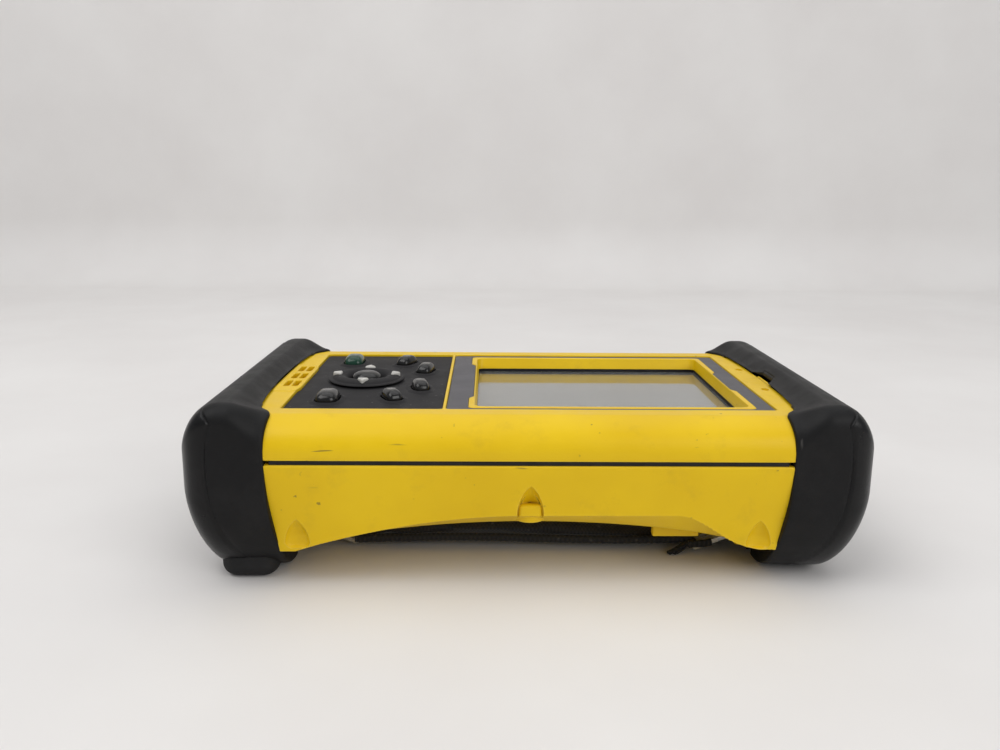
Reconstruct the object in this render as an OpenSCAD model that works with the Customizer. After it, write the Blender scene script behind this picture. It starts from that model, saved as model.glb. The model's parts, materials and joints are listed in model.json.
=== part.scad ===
// Rugged field data collector, lying on its back with its screen facing up.
// +X runs from the battery boot to the card cap, +Y across the screen, +Z out of the screen.
// The origin is on the resting plane, under the middle of the case. Millimetres.

/* [Overall] */
// Length over both boots
body_l = 165; // [160:1:170]
// Width over the boots
body_w = 95; // [94:0.5:97]
// Height from the resting plane to the top of the boots
body_h = 45; // [44.5:0.5:46]

/* [Case] */
// Half width of the case at the seam
case_hw = 46.5; // [46:0.1:46.6]
// Height of the flat rim round the keypad and screen
rim_z = 41.4; // [41.2:0.1:41.8]
// Middle height of the seam between the two case halves
seam_z = 31.25; // [31:0.05:31.5]
// Thickness of the seam gasket
seam_t = 1; // [0.6:0.1:1.2]
// Height of the top of the grip arch in the case sides
arch_z = 18; // [17.5:0.1:18.5]
// Height of the back plate at its highest point
back_z = 14.8; // [14.4:0.1:15]

/* [Screen] */
// Visible opening along X
view_l = 67.2; // [66:0.1:67.4]
// Visible opening along Y
view_w = 59.2; // [56:0.1:59.4]
// Height of the top face of the touch glass
glass_z = 37.2; // [37.1:0.1:37.3]

/* [Keypad] */
// Travel of every key
key_travel = 0.6; // [0.4:0.1:0.6]
// Outer radius of the direction ring
ring_r = 10.6; // [10:0.1:10.8]
// Height of the top of the keys
key_top = 43.5; // [42.6:0.1:43.6]

/* [Hidden] */

yellow = "gold";
black = "#242426";
steel = "silver";
$fn = 48;

fit = 0.3;               // clearance between a boot and the case
seam_lo = seam_z - seam_t / 2;
seam_hi = seam_z + seam_t / 2;
wall = 2.4;
roof_z = 38;             // underside of the front wall
board_z = 25;            // underside of the main board
board_t = 1.6;
spigot_end = 63.6;       // the case ends here, inside the boots
spigot_hw = 42.9;
spigot_lo = 10.2;
spigot_hi = 38.3;
screw_y = 40.3;          // the case screws stand in two rows
screw_x = [-55, 0.3, 55];
board_post_x = [-52, 54];
boot_screw_x = 61.2;
boot_screw_y = 24;

// ---- panel layout
panel_hw = 34.7;
keypad_x0 = -60;
divider_x = -20.5;
divider_t = 0.8;
panel_x1 = 60.7;
floor_z = 40;            // recess floor under the overlays
overlay_t = 0.8;
view_cx = 20.95;
view_x0 = view_cx - view_l / 2;
view_x1 = view_cx + view_l / 2;
slope_z = 38.2;          // foot of the steep screen surround
bezel_z = 40.9;
bezel_hw = 32.2;

// ---- keypad layout: [x, y, length along X, width along Y, turn]
power_at = [-50.4, 23.6, 5.7, 8.6, 0];
start_at = [-50.4, -23.6, 5.7, 8.6, 0];
app_at = [[-34.4, 22.2, 4.4, 7.4, -24], [-27.9, 10.9, 4.4, 7.4, -12],
    [-27.9, -10.9, 4.4, 7.4, 12], [-34.4, -22.2, 4.4, 7.4, 24]];
ring_at = [-43.6, 0];
ring_hole = 5.3;
enter_r = 4;
arrow_r = 8;
key_lo = 37.1;           // underside of a key at rest
flange_t = 0.7;
flange_grow = 1.0;
key_gap = 0.3;
dome_h = 0.3;
keypad_board_t = 1;
keypad_board_z = key_lo - key_travel - dome_h - keypad_board_t;
grille_x = [-63.8, -61.4];
grille_y = [-7.8, 1.6, 11];

// ---- shape of a boot on the +X side
end_x = body_l / 2;
boot_hw = body_w / 2;
plan_r = 13;             // corner radius seen from above
under_r = 20;            // radius of the lower edges along X
bay_x = 74;              // floor of the socket bay
bay_y = [11.2, 42.6];
bay_z = [10.4, 38];

function arc(c, r, a0, a1, n = 8) = [for (k = [0:n]) let (a = a0 + (a1 - a0) * k / n)
    [c[0] + r[0] * cos(a), c[1] + r[1] * sin(a)]];
function smooth(t) = let (k = min(1, max(0, t))) k * k * (3 - 2 * k);
// inner edge of a boot on the case sides, by height
function edge_side(z) = 61.6 - (z < 31 ? 0.0068 * pow(min(22, 31 - z), 2) : 0.012 * pow(z - 31, 2));
// inner edge of a boot on the top, by distance from the middle
function edge_top(y) = abs(y) < 34.5 ? 66.1 - 1.7 * pow(y / 34.5, 2)
    : 64.4 - 3.2 * smooth((abs(y) - 34.5) / 5);
function mirrored(half) = concat(half, [for (k = [len(half) - 1:-1:0]) [-half[k][0], half[k][1]]]);

// the three outlines of a boot, drawn in by a wall thickness
function boot_side(t) = concat(
    arc([69, 12], [10.5 - t, 12 - t], -90, -15), [[81.7 - t, 18], [end_x - t, 27]],
    arc([69.5, 32.5], [end_x - 69.5 - t, body_h - 32.5 - t], 8, 90, 10),
    [[66.2, body_h - t], [63.2, 44.1 - t], [60.6, 42.7 - t], [50, 41.8 - t], [50, t]]);
function boot_plan(t) = mirrored(concat(
    arc([boot_hw - plan_r, end_x - plan_r], [plan_r - t, plan_r - t], 90, 0),
    [[boot_hw - 0.1 - t, 66], [46.9 - t, 62], [46.7 - t, 50]]));
function boot_section(t) = mirrored(concat(
    arc([boot_hw - under_r, under_r], [under_r - t, under_r - t], -90, 0),
    arc([boot_hw - 4.6, body_h - 4.6], [4.6 - t / 2, 4.6 - t], 0, 90, 6)));

module boot_form(t) {
    intersection() {
        rotate([90, 0, 0]) linear_extrude(120, center = true) polygon(boot_side(t));
        linear_extrude(60) polygon([for (p = boot_plan(t)) [p[1], p[0]]]);
        translate([50, 0, 0]) rotate([90, 0, 90]) linear_extrude(40) polygon(boot_section(t));
    }
}

// Everything beyond the boots' inner edges, on the +X side
module beyond_edge(gap) {
    rotate([90, 0, 0]) linear_extrude(120, center = true) polygon(concat(
        [for (k = [0:10]) let (z = -2 + 40.6 * k / 10) [edge_side(z) + gap, z]],
        [[90, 38.6], [90, -2]]));
    translate([0, 0, 38.55]) linear_extrude(12) polygon(concat(
        [for (y = [-48, -42, -39.5, -38, -36.5, -34.5, -28, -18, -8, 0, 8, 18, 28, 34.5, 36.5, 38,
            39.5, 42, 48]) [edge_top(y) + gap, y]],
        [[90, 48], [90, -48]]));
}

// Shell of a boot; the hollow is shallow beyond the bay's side wall
module boot_shell(bay) {
    difference() {
        intersection() {
            boot_form(0);
            beyond_edge(0);
        }
        intersection() {
            boot_form(3);
            translate([64.8, -60, 3]) cube([bay ? 13.5 : 14.5, bay ? 60 + bay_y[0] - 1.4 : 120, 36.3]);
        }
        if (bay) {
            translate([64.8, 0, 10.2]) cube([bay_x - 2 - 64.8, 43.2, 28.4]);
            translate([bay_x, bay_y[0], bay_z[0]])
                cube([20, bay_y[1] - bay_y[0], bay_z[1] - bay_z[0]]);
        }
        translate([50, -spigot_hw - fit, spigot_lo - fit])
            cube([15.2, 2 * (spigot_hw + fit), spigot_hi - spigot_lo + 2 * fit]);
        for (s = [-1, 1]) translate([boot_screw_x, s * boot_screw_y, -1]) {
            cylinder(r = 1.5, h = 12);
            cylinder(r = 2.7, h = 4.3);
        }
    }
}

// ---- case
// underside of the case sides and of the back plate, by length
function arch_side(x) = x < 0 ? arch_z - x * x / 328
    : x < 35.5 ? arch_z : 9.3 + (arch_z - 9.3) * (1 + cos(180 * min(1, (x - 35.5) / 20.5))) / 2;
function arch_back(x) = min(arch_side(x) - 0.2, back_z - (x - 1) * (x - 1) / 560);

function case_half() = concat(
    [[43.9, 8.5], [44.6, 14], [45.6, 22], [case_hw, 30]],
    arc([case_hw - 9.5, 33.5], [9.5, (rim_z - 33.5) / sin(74.4)], 0, 74.4, 7));

// Outer form of the closed case, with the plugs that run on inside the boots
module case_form() {
    difference() {
        rotate([90, 0, 90]) linear_extrude(134, center = true) polygon(mirrored(case_half()));
        for (m = [0, 1]) mirror([m, 0, 0]) beyond_edge(-0.25);
    }
    translate([-spigot_end, -spigot_hw, spigot_lo])
        cube([2 * spigot_end, 2 * spigot_hw, spigot_hi - spigot_lo]);
}

// Everything under the arched back
module under_back() {
    stations = concat([for (k = [0:22]) -60 + 4 * k], [for (k = [0:15]) 30 + 2 * k]);
    skin_loop([for (x = stations) let (a = arch_side(x), b = arch_back(x))
        [[x, -60, b + 4 * (a - b)], [x, -60, -5], [x, 60, -5], [x, 60, b + 4 * (a - b)],
         [x, 40, b], [x, -40, b]]]);
}

// A closed skin through rings, both ends flat
module skin_loop(rings) {
    n = len(rings[0]);
    m = len(rings);
    sides = [for (i = [0:m - 2], j = [0:n - 1]) let (a = i * n + j, b = i * n + (j + 1) % n)
        each [[a, a + n, b], [b, a + n, b + n]]];
    polyhedron(points = [for (r = rings) each r], convexity = 6,
        faces = concat([[for (j = [0:n - 1]) j]], sides,
            [[for (j = [n - 1:-1:0]) (m - 1) * n + j]]));
}

module case_shell() {
    difference() {
        case_form();
        under_back();
        translate([-57.6, -40, 17.2]) cube([115.2, 80, roof_z - 17.2]);
        translate([-57.6, wall - case_hw, 20.6]) cube([115.2, 2 * (case_hw - wall), 35.4 - 20.6]);
        translate([-61.4, -40.6, 17.2]) cube([122.8, 81.2, 36.2 - 17.2]);
    }
    screw_pillars(3.9, 16, seam_z);
    screw_pillars(2.9, seam_z, roof_z + 0.5);
    for (sx = [-1, 1], sy = [-1, 1]) translate([sx * 60.4, sy * boot_screw_y, 13.9])
        cube([6.2, 7.4, 7.3], center = true);
}

module screw_pillars(r, lo, hi) {
    for (x = screw_x, s = [-1, 1]) translate([x, s * screw_y, lo]) cylinder(r = r, h = hi - lo);
}

// Cuts that fasteners need in the closed case
module fastener_cuts() {
    for (x = screw_x, s = [-1, 1]) {
        head_z = abs(x) > 10 ? 19 : 24;
        translate([x, s * screw_y, 5]) cylinder(r = 2.6, h = head_z - 5);
        translate([x, s * screw_y, 5]) cylinder(r = 1.45, h = seam_hi - 5 + 0.01);
        translate([x, s * screw_y, seam_lo]) cylinder(r = 1.1, h = 4.4);
        // scooped access for the driver
        foot_z = abs(x) > 10 ? 9 : 18;
        translate([x, s * (case_hw - 1.6), foot_z - 2.2]) rotate([s * 19, 0, 0])
            cylinder(r = 3.15, h = 12);
    }
    for (sx = [-1, 1], sy = [-1, 1]) {
        translate([sx * boot_screw_x, sy * boot_screw_y, 5]) cylinder(r = 1.45, h = 11);
        translate([sx * (boot_screw_x + 3), sy * boot_screw_y, 10.5])
            cube([6, 2.9, 11], center = true);
    }
}

// U-shaped strips round the sides and underside of the two plugs
module seal_strip(t, grow, depth) {
    for (s = [-1, 1]) translate([s * 62.95 - t / 2, 0, 0]) difference() {
        translate([0, -spigot_hw - grow, spigot_lo - grow])
            cube([t, 2 * (spigot_hw + grow), 24.8 + 1.5 * grow]);
        translate([-1, -spigot_hw + depth, spigot_lo + depth])
            cube([3, 2 * (spigot_hw - depth), 40]);
    }
}

module boot_seals() {
    color(black) seal_strip(0.6, fit - 0.1, 0.85);
}

function bezel_outline() = [[-14.7, -bezel_hw + 1.4], [-13.3, -bezel_hw], [55.1, -bezel_hw],
    [56.5, -bezel_hw + 1.4], [56.5, -13], [55.4, -11.4], [55.4, 11.4], [56.5, 13],
    [56.5, bezel_hw - 1.4], [55.1, bezel_hw], [-13.3, bezel_hw], [-14.7, bezel_hw - 1.4],
    [-14.7, 22], [-13.5, 20.2], [-13.5, -20.2], [-14.7, -22]];

module key_outline(k, grow) {
    r = min(k[2], k[3]) * 0.34 + grow;
    l = k[2] / 2 + grow - r;
    w = k[3] / 2 + grow - r;
    translate([k[0], k[1]]) rotate(k[4]) polygon([for (c = [[1, 1, 0], [-1, 1, 90], [-1, -1, 180],
        [1, -1, 270]], a = [0:15:90]) [c[0] * l + r * cos(c[2] + a), c[1] * w + r * sin(c[2] + a)]]);
}

module each_key_hole(h, grow) {
    for (k = concat([power_at, start_at], app_at)) linear_extrude(h) key_outline(k, grow);
}

module front_case() {
    color(yellow) difference() {
        union() {
            difference() {
                intersection() {
                    case_shell();
                    translate([-70, -60, seam_hi]) cube([140, 120, 20]);
                }
                // the recesses for the keypad and screen overlays
                translate([keypad_x0, -panel_hw, floor_z])
                    cube([divider_x - divider_t / 2 - keypad_x0, 2 * panel_hw, 5]);
                translate([divider_x + divider_t / 2, -panel_hw, floor_z])
                    cube([panel_x1 - divider_x - divider_t / 2, 2 * panel_hw, 5]);
            }
            translate([0, 0, floor_z - 0.5]) linear_extrude(bezel_z - floor_z + 0.5)
                polygon(bezel_outline());
            // raised speaker grille
            translate([-65.1, -13, rim_z - 1]) cube([5.6, 27.6, 1.3]);
        }
        screen_slope();
        translate([view_x0 - 1, -view_w / 2 - 1, 30])
            cube([view_l + 2, view_w + 2, slope_z - 30 + 0.01]);
        translate([0, 0, 30]) each_key_hole(12, key_gap);
        translate([ring_at[0], ring_at[1], 30]) cylinder(r = ring_hole + 2.2, h = 12);
        for (x = grille_x, y = grille_y) translate([x - 0.8, y - 3.1, rim_z - 1.2])
            cube([1.6, 6.2, 3]);
        translate([(grille_x[0] + grille_x[1]) / 2, 1.6, 33]) cylinder(r = 0.8, h = 12);
        fastener_cuts();
        seal_strip(0.7, 1, 0.9);
    }
}

module screen_slope() {
    lo = [[view_x0, -view_w / 2], [view_x1, -view_w / 2], [view_x1, view_w / 2],
        [view_x0, view_w / 2]];
    hi = [[-13.1, -30.8], [55.05, -30.8], [55.05, 30.8], [-13.1, 30.8]];
    skin_loop([[for (p = lo) [p[0], p[1], slope_z - 0.05]],
        [for (p = hi) [p[0], p[1], bezel_z + 0.02]]]);
}

module back_case() {
    color(yellow) difference() {
        union() {
            intersection() {
                case_shell();
                translate([-70, -60, 0]) cube([140, 120, seam_lo]);
            }
            // lugs that hold the two strap pins
            for (sx = [-1, 1], sy = [-1, 1]) translate([sx * 54.6 - 2.4, sy * 28.4 - 1.6, 4])
                cube([4.8, 3.2, 9]);
            // rails along the back plate
            for (sy = [-1, 1]) translate([31.4, sy * 33.6 - 1.2, 8.9]) cube([11.6, 2.4, 7]);
            // posts under the main board
            for (x = board_post_x, s = [-1, 1]) translate([x, s * 33, 16])
                cylinder(r = 2.6, h = board_z - 16);
        }
        fastener_cuts();
        seal_strip(0.7, 1, 0.9);
        // slots that the memory cards pass
        for (z = [board_z - 4.2, board_z + board_t + 0.4]) translate([58, -22, z])
            cube([8, 44, 3.7]);
        for (s = [-1, 1]) translate([s * 54.6, 0, 6.3]) rotate([90, 0, 0])
            cylinder(r = 1.3, h = 58.2, center = true);
        for (x = board_post_x, s = [-1, 1]) translate([x, s * 33, board_z - 8.4])
            cylinder(r = 1.05, h = 9);
    }
}

module case_gasket() {
    color(black) translate([0, 0, seam_lo]) linear_extrude(seam_t) difference() {
        union() {
            square([120.8, 2 * (case_hw - 0.45)], center = true);
            square([2 * spigot_end - 0.8, 2 * spigot_hw - 1.9], center = true);
        }
        square([115.2, 2 * (case_hw - wall)], center = true);
        square([122.8, 81.2], center = true);
    }
}

// ---- front panel
module keypad_overlay() {
    color(black) difference() {
        translate([keypad_x0 + 0.1, -panel_hw + 0.1, floor_z])
            cube([divider_x - divider_t / 2 - keypad_x0 - 0.2, 2 * panel_hw - 0.2, overlay_t]);
        translate([0, 0, 35]) each_key_hole(10, key_gap);
        translate([ring_at[0], ring_at[1], 35]) cylinder(r = ring_hole + 2.2, h = 10);
        translate([-62, -13.1, 35]) cube([2.6, 27.8, 10]);
    }
}

module bezel_overlay() {
    color("dimgray") translate([0, 0, floor_z]) linear_extrude(overlay_t - 0.1) difference() {
        x0 = divider_x + divider_t / 2 + 0.1;
        translate([x0, -panel_hw + 0.1]) square([panel_x1 - 0.1 - x0, 2 * panel_hw - 0.2]);
        c = bezel_outline();
        polygon([for (p = c) [p[0] + (p[0] > 20 ? 0.1 : -0.1), p[1] + (p[1] > 0 ? 0.1 : -0.1)]]);
    }
}

module touch_glass() {
    color("#8f908c") translate([view_x0 - 2.4, -view_w / 2 - 2.4, glass_z - 1.1])
        cube([view_l + 4.8, view_w + 4.8, 1.1]);
}

module screen_gasket() {
    color(black) difference() {
        union() {
            translate([view_x0 - 0.9, -view_w / 2 - 0.9, glass_z])
                cube([view_l + 1.8, view_w + 1.8, slope_z - glass_z - 0.1]);
            translate([view_x0 - 2.6, -view_w / 2 - 2.6, glass_z])
                cube([view_l + 5.2, view_w + 5.2, roof_z - glass_z]);
        }
        translate([view_x0, -view_w / 2, glass_z - 1]) cube([view_l, view_w, 5]);
    }
}

module lcd_panel() {
    color("#5c6060") translate([view_x0 - 1, -view_w / 2 - 1, 33.2])
        cube([view_l + 2, view_w + 2, 2.8]);
}

module lcd_frame() {
    color(steel) difference() {
        translate([view_x0 - 3, -view_w / 2 - 3, 31.9]) cube([view_l + 6, view_w + 6, 4.1]);
        translate([view_x0 - 1.2, -view_w / 2 - 1.2, 33.1]) cube([view_l + 2.4, view_w + 2.4, 5]);
        translate([view_cx - 20, -14, 30]) cube([40, 28, 5]);
    }
}

// ---- electronics
module main_board() {
    color("darkgreen") difference() {
        translate([-56, -36, board_z]) cube([114, 72, board_t]);
        for (x = board_post_x, s = [-1, 1]) translate([x, s * 33, board_z - 1])
            cylinder(r = 1.2, h = 5);
        translate([-57, -8, board_z - 1]) cube([5, 16, 5]);
    }
}

module board_chips() {
    top = board_z + board_t;
    color("#303030") {
        translate([0, -9, top]) cube([17, 17, 1.4]);
        translate([-38, 8, top]) cube([12, 18, 1.1]);
        translate([-38, -25, top]) cube([12, 18, 1.1]);
        translate([-10, -30, top]) cube([9, 9, 1.2]);
        translate([-46, -35, top]) cube([8, 8, 1.2]);
        translate([-22, -12, board_z - 1.5]) cube([18, 24, 1.5]);
    }
}

module keypad_board() {
    color("darkgreen") difference() {
        translate([-57.2, -33, keypad_board_z]) cube([35.8, 66, keypad_board_t]);
        translate([ring_at[0], ring_at[1], keypad_board_z - 1]) cylinder(r = 0.9, h = 4);
    }
}

module key_domes() {
    color(steel) for (p = concat([power_at, start_at, [ring_at[0], ring_at[1]]], app_at,
        [for (a = [0:90:270]) [ring_at[0] + 6.6 * cos(a), ring_at[1] + 6.6 * sin(a)]]))
        translate([p[0], p[1], keypad_board_z + keypad_board_t]) difference() {
            cylinder(r = 1.9, h = dome_h - 0.02);
            if (p[0] == ring_at[0] && p[1] == ring_at[1]) translate([0, 0, -1]) cylinder(r = 1, h = 3);
        }
}

module speaker() {
    color("#3a3a3c") translate([-53.6, -13, board_z + board_t]) {
        difference() {
            cylinder(r = 6.4, h = 4.4);
            translate([0, 0, 3.4]) cylinder(r = 5.2, h = 2);
        }
        translate([0, 0, 3.4]) cylinder(r1 = 4.6, r2 = 2, h = 0.8);
    }
}

module microphone() {
    color(steel) translate([59.6, 0, 33.4]) cylinder(r = 1.6, h = 2.2);
}

module card_socket(z) {
    difference() {
        translate([20, -23.4, z]) cube([38, 46.8, 4.6]);
        translate([24, -21.6, z + 0.5]) cube([40, 43.2, 3.5]);
    }
    for (k = [-12:12]) translate([24, k * 1.27 - 0.2, z + 2]) cube([5, 0.4, 0.4]);
}
module card_socket_upper() { color(black) card_socket(board_z + board_t); }
module card_socket_lower() { color(black) card_socket(board_z - 4.6); }

module backup_cell() {
    color(steel) translate([-46, 20, board_z + board_t]) {
        cylinder(r = 6.2, h = 1.6);
        cylinder(r = 5.4, h = 2);
    }
}

module screw(r, head_r, head_h, l) {
    // stands head down, with its head's underside at 0
    difference() {
        union() {
            translate([0, 0, -head_h]) cylinder(r = head_r, h = head_h);
            cylinder(r = r, h = l);
        }
        translate([0, 0, -head_h]) for (a = [0, 90]) rotate(a)
            cube([head_r * 1.3, head_r * 0.32, head_h], center = true);
    }
}

module case_screws() {
    color(steel) for (x = screw_x, s = [-1, 1]) {
        head_z = abs(x) > 10 ? 19 : 24;
        translate([x, s * screw_y, head_z]) screw(1.08, 2.3, 1.6, 34.5 - head_z);
    }
}

module board_screws() {
    color(steel) for (x = board_post_x, s = [-1, 1])
        translate([x, s * 33, board_z + board_t]) mirror([0, 0, 1]) screw(1, 1.9, 1.2, 9);
}

module lcd_ribbon() {
    color("peru") {
        translate([-16.3, -10, 29]) cube([0.3, 20, 4.8]);
        translate([-16.3, -10, 29]) cube([8, 20, 0.3]);
        translate([-10, -11, board_z + board_t]) cube([4, 22, 2.5]);
    }
}

module keypad_ribbon() {
    color("peru") {
        translate([-24, -8, board_z + board_t]) cube([3, 16, 1.6]);
        translate([-22.6, -7, board_z + board_t + 1.6])
            cube([0.3, 14, keypad_board_z - board_z - board_t - 1.6]);
    }
}

module contact_block() {
    color(black) translate([-spigot_end - 0.25, -38, 20]) cube([0.25, 40, 7]);
}

// ---- battery boot
module battery_boot() {
    color(black) mirror([1, 0, 0]) difference() {
        boot_shell(true);
        foot_blocks(2.2);
        translate([bay_x - 3, serial_at[0], serial_at[1]]) rotate([0, 90, 0])
            linear_extrude(5) serial_outline(0.5);
        for (s = [-1, 1]) translate([bay_x - 3, serial_at[0] + s * jack_pitch / 2, serial_at[1]])
            rotate([0, 90, 0]) cylinder(r = 1.6, h = 5);
        translate([bay_x - 3, usb_at[0] - 4.3, usb_at[1] - 2.4]) cube([5, 8.6, 4.8]);
        translate([bay_x - 3, power_in[0], power_in[1]]) rotate([0, 90, 0])
            cylinder(r = 4.4, h = 5);
    }
}

cell_r = 6.5;
cell_x = -70.6;
cell_z = [16.1, 31];
module battery_cells() {
    color("slategray") for (z = cell_z) translate([cell_x, 8.4, z]) rotate([90, 0, 0]) {
        cylinder(r = cell_r, h = 47);
        translate([0, 0, -1]) cylinder(r = 2.7, h = 2);
    }
}

module battery_contacts() {
    color(steel) for (z = cell_z) {
        translate([cell_x - 4.6, 9.4, z - 4.6]) cube([9.2, 0.35, 9.2]);
        translate([cell_x, -40.4, z]) rotate([-90, 0, 0]) {
            cylinder(r1 = 4.6, r2 = 2.4, h = 1.8);
            translate([-4, -4, -0.5]) cube([8, 8, 0.5]);
        }
    }
}

// Rounded blocks under the corners of the boot, on the +X side
module foot_blocks(h) {
    for (m = [0, 1]) mirror([0, m, 0]) intersection() {
        translate([0, -29.2, 0]) rotate([90, 0, 0]) linear_extrude(12.2) polygon(
            [[60.4, 6.2], [60.6, 3], [61.6, 0.8], [63.4, 0], [70.8, 0], [72.9, 0.9], [74, 2.6],
             [74.2, 6.2]]);
        rotate([90, 0, 90]) linear_extrude(90) polygon(
            [[-29.2, 0], [-29.2, h], [-41.4, h], [-41.4, 2], [-40.6, 0.6], [-39.2, 0]]);
    }
}

module boot_feet() {
    color("#1b1b1c") mirror([1, 0, 0]) difference() {
        foot_blocks(6.2);
        intersection() {
            boot_form(0);
            translate([50, -60, 2.2]) cube([40, 120, 10]);
        }
    }
}

module boot_screws() {
    color(steel) for (s = [-1, 1]) translate([-boot_screw_x, s * boot_screw_y, 3.3])
        screw(1.2, 2.3, 1.7, 12);
}
module cap_screws() {
    color(steel) for (s = [-1, 1]) translate([boot_screw_x, s * boot_screw_y, 3.3])
        screw(1.2, 2.3, 1.7, 12);
}

serial_at = [26.9, 30.2];
jack_pitch = 24.99;
usb_at = [19.4, 16.8];
power_in = [34.4, 16.8];
port_board_x = -66;
module port_board() {
    color("darkgreen") translate([port_board_x - 1.6, 11.4, 10.8]) cube([1.6, 31, 27.2]);
}

// D-shaped outline of a nine-way serial plug, long side along Y
module serial_outline(grow) {
    polygon([[-4.1 - grow, -8.3 - grow], [4.1 + grow, -7 - grow], [4.1 + grow, 7 + grow],
        [-4.1 - grow, 8.3 + grow]]);
}

module serial_shell() {
    color(steel) translate([0, serial_at[0], serial_at[1]]) mirror([1, 0, 0]) rotate([0, 90, 0])
        difference() {
            union() {
                translate([0, 0, 1.6 - port_board_x]) linear_extrude(12.6) serial_outline(0.3);
                translate([-6, -15.2, bay_x]) cube([12, 30.4, 0.8]);
            }
            translate([0, 0, 70.6]) linear_extrude(20) serial_outline(-0.4);
            for (s = [-1, 1]) translate([0, s * jack_pitch / 2, 60]) cylinder(r = 1.6, h = 20);
        }
}

module serial_pins() {
    color("khaki") for (r = [0, 1], k = [0:4 - r])
        translate([-70.6, serial_at[0] + (k - 2 + r / 2) * 2.76, serial_at[1] + 1.4 - 2.84 * r])
            rotate([0, -90, 0]) cylinder(r = 0.5, h = 7.4, $fn = 24);
}

// Hexagonal posts that the plug's own screws go into
module jack_posts() {
    color(steel) for (s = [-1, 1]) translate([-bay_x + 3.6,
        serial_at[0] + s * jack_pitch / 2, serial_at[1]]) rotate([0, -90, 0]) difference() {
            union() {
                cylinder(r = 1.5, h = 5);
                translate([0, 0, 4.4]) cylinder(r = 2.75, h = 4.6, $fn = 6);
            }
            translate([0, 0, 4.4]) cylinder(r = 1.15, h = 6);
        }
}

module usb_socket() {
    color(steel) translate([port_board_x - 1.6, usb_at[0] - 4, usb_at[1] - 2.1]) mirror([1, 0, 0])
        difference() {
            cube([9, 8, 4.2]);
            translate([1.2, 0.6, 0.6]) cube([8, 6.8, 3]);
        }
    color(black) translate([port_board_x - 1.6 - 7, usb_at[0] - 2.4, usb_at[1] - 0.4])
        cube([6.6, 4.8, 0.8]);
}

module power_jack() {
    color(black) translate([port_board_x - 1.6, power_in[0], power_in[1]]) rotate([0, -90, 0]) {
        difference() {
            cylinder(r = 4.2, h = 9.4);
            translate([0, 0, 1]) cylinder(r = 2.9, h = 9);
        }
        cylinder(r = 1, h = 8);
    }
}

// ---- card cap
module card_cap() {
    color(black) difference() {
        boot_shell(false);
        // relief in the inner edge
        translate([64.5, -6, 38]) cube([2.6, 12, 8]);
    }
}

// ---- keys
module key(k) {
    translate([0, 0, key_lo]) linear_extrude(flange_t) key_outline(k, flange_grow);
    intersection() {
        translate([0, 0, key_lo]) linear_extrude(key_top - key_lo) key_outline(k, 0);
        translate([k[0], k[1], key_top - 7.2]) sphere(r = 7.2, $fn = 48);
    }
}
module power_key() { color("darkgreen") key(power_at); }
module start_key() { color(black) key(start_at); }
module app_key_1() { color(black) key(app_at[0]); }
module app_key_2() { color(black) key(app_at[1]); }
module app_key_3() { color(black) key(app_at[2]); }
module app_key_4() { color(black) key(app_at[3]); }

module enter_key() {
    color(black) translate([ring_at[0], ring_at[1], 0]) {
        translate([0, 0, key_lo + 2.2]) cylinder(r = enter_r - 0.4, h = 1.8);
        translate([0, 0, key_lo + 2.6]) intersection() {
            cylinder(r = enter_r, h = key_top - key_lo - 2.6);
            translate([0, 0, key_top - key_lo - 2.6 - 7]) sphere(r = 7);
        }
        translate([0, 0, key_lo]) cylinder(r = 0.8, h = 2.6);
    }
}

// Tilts with the direction ring on its central collar
module pad_rocker() {
    color("dimgray") translate([ring_at[0], ring_at[1], key_lo]) difference() {
        cylinder(r = 4.6, h = 0.7);
        translate([0, 0, -1]) cylinder(r = 1.5, h = 4);
    }
}

module direction_ring() {
    color(black) difference() {
        ring_form();
        arrow_prisms(2);
    }
}

module ring_form() {
    translate([ring_at[0], ring_at[1], 0]) {
        rotate_extrude() translate([ring_r - 3, 41.5]) polygon(concat(
            [[-2.2, -0.25], [2.9, -0.25]],
            [for (a = [0:15:180]) [0.35 + 2.55 * cos(a), 0.1 + 0.7 * sin(a)]]));
        difference() {
            translate([0, 0, key_lo + 1.1]) cylinder(r = ring_hole + 1.6, h = 41.4 - key_lo - 1.1);
            translate([0, 0, key_lo]) cylinder(r = enter_r + 0.35, h = 12);
        }
        translate([0, 0, key_lo + 1.02]) difference() {
            cylinder(r = ring_hole + 1.6, h = 0.4);
            translate([0, 0, -1]) cylinder(r = 2.2, h = 4);
        }
    }
}

module arrow_prisms(h) {
    for (a = [0:90:270]) translate([ring_at[0], ring_at[1], 42.1]) rotate(a)
        translate([arrow_r, 0, 0]) linear_extrude(h) polygon([[-0.9, -1.3], [1.2, 0], [-0.9, 1.3]]);
}

module arrow_marks() {
    color("whitesmoke") arrow_prisms(0.5);
}

// ---- hand strap
strap_z = 1.4;
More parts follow.
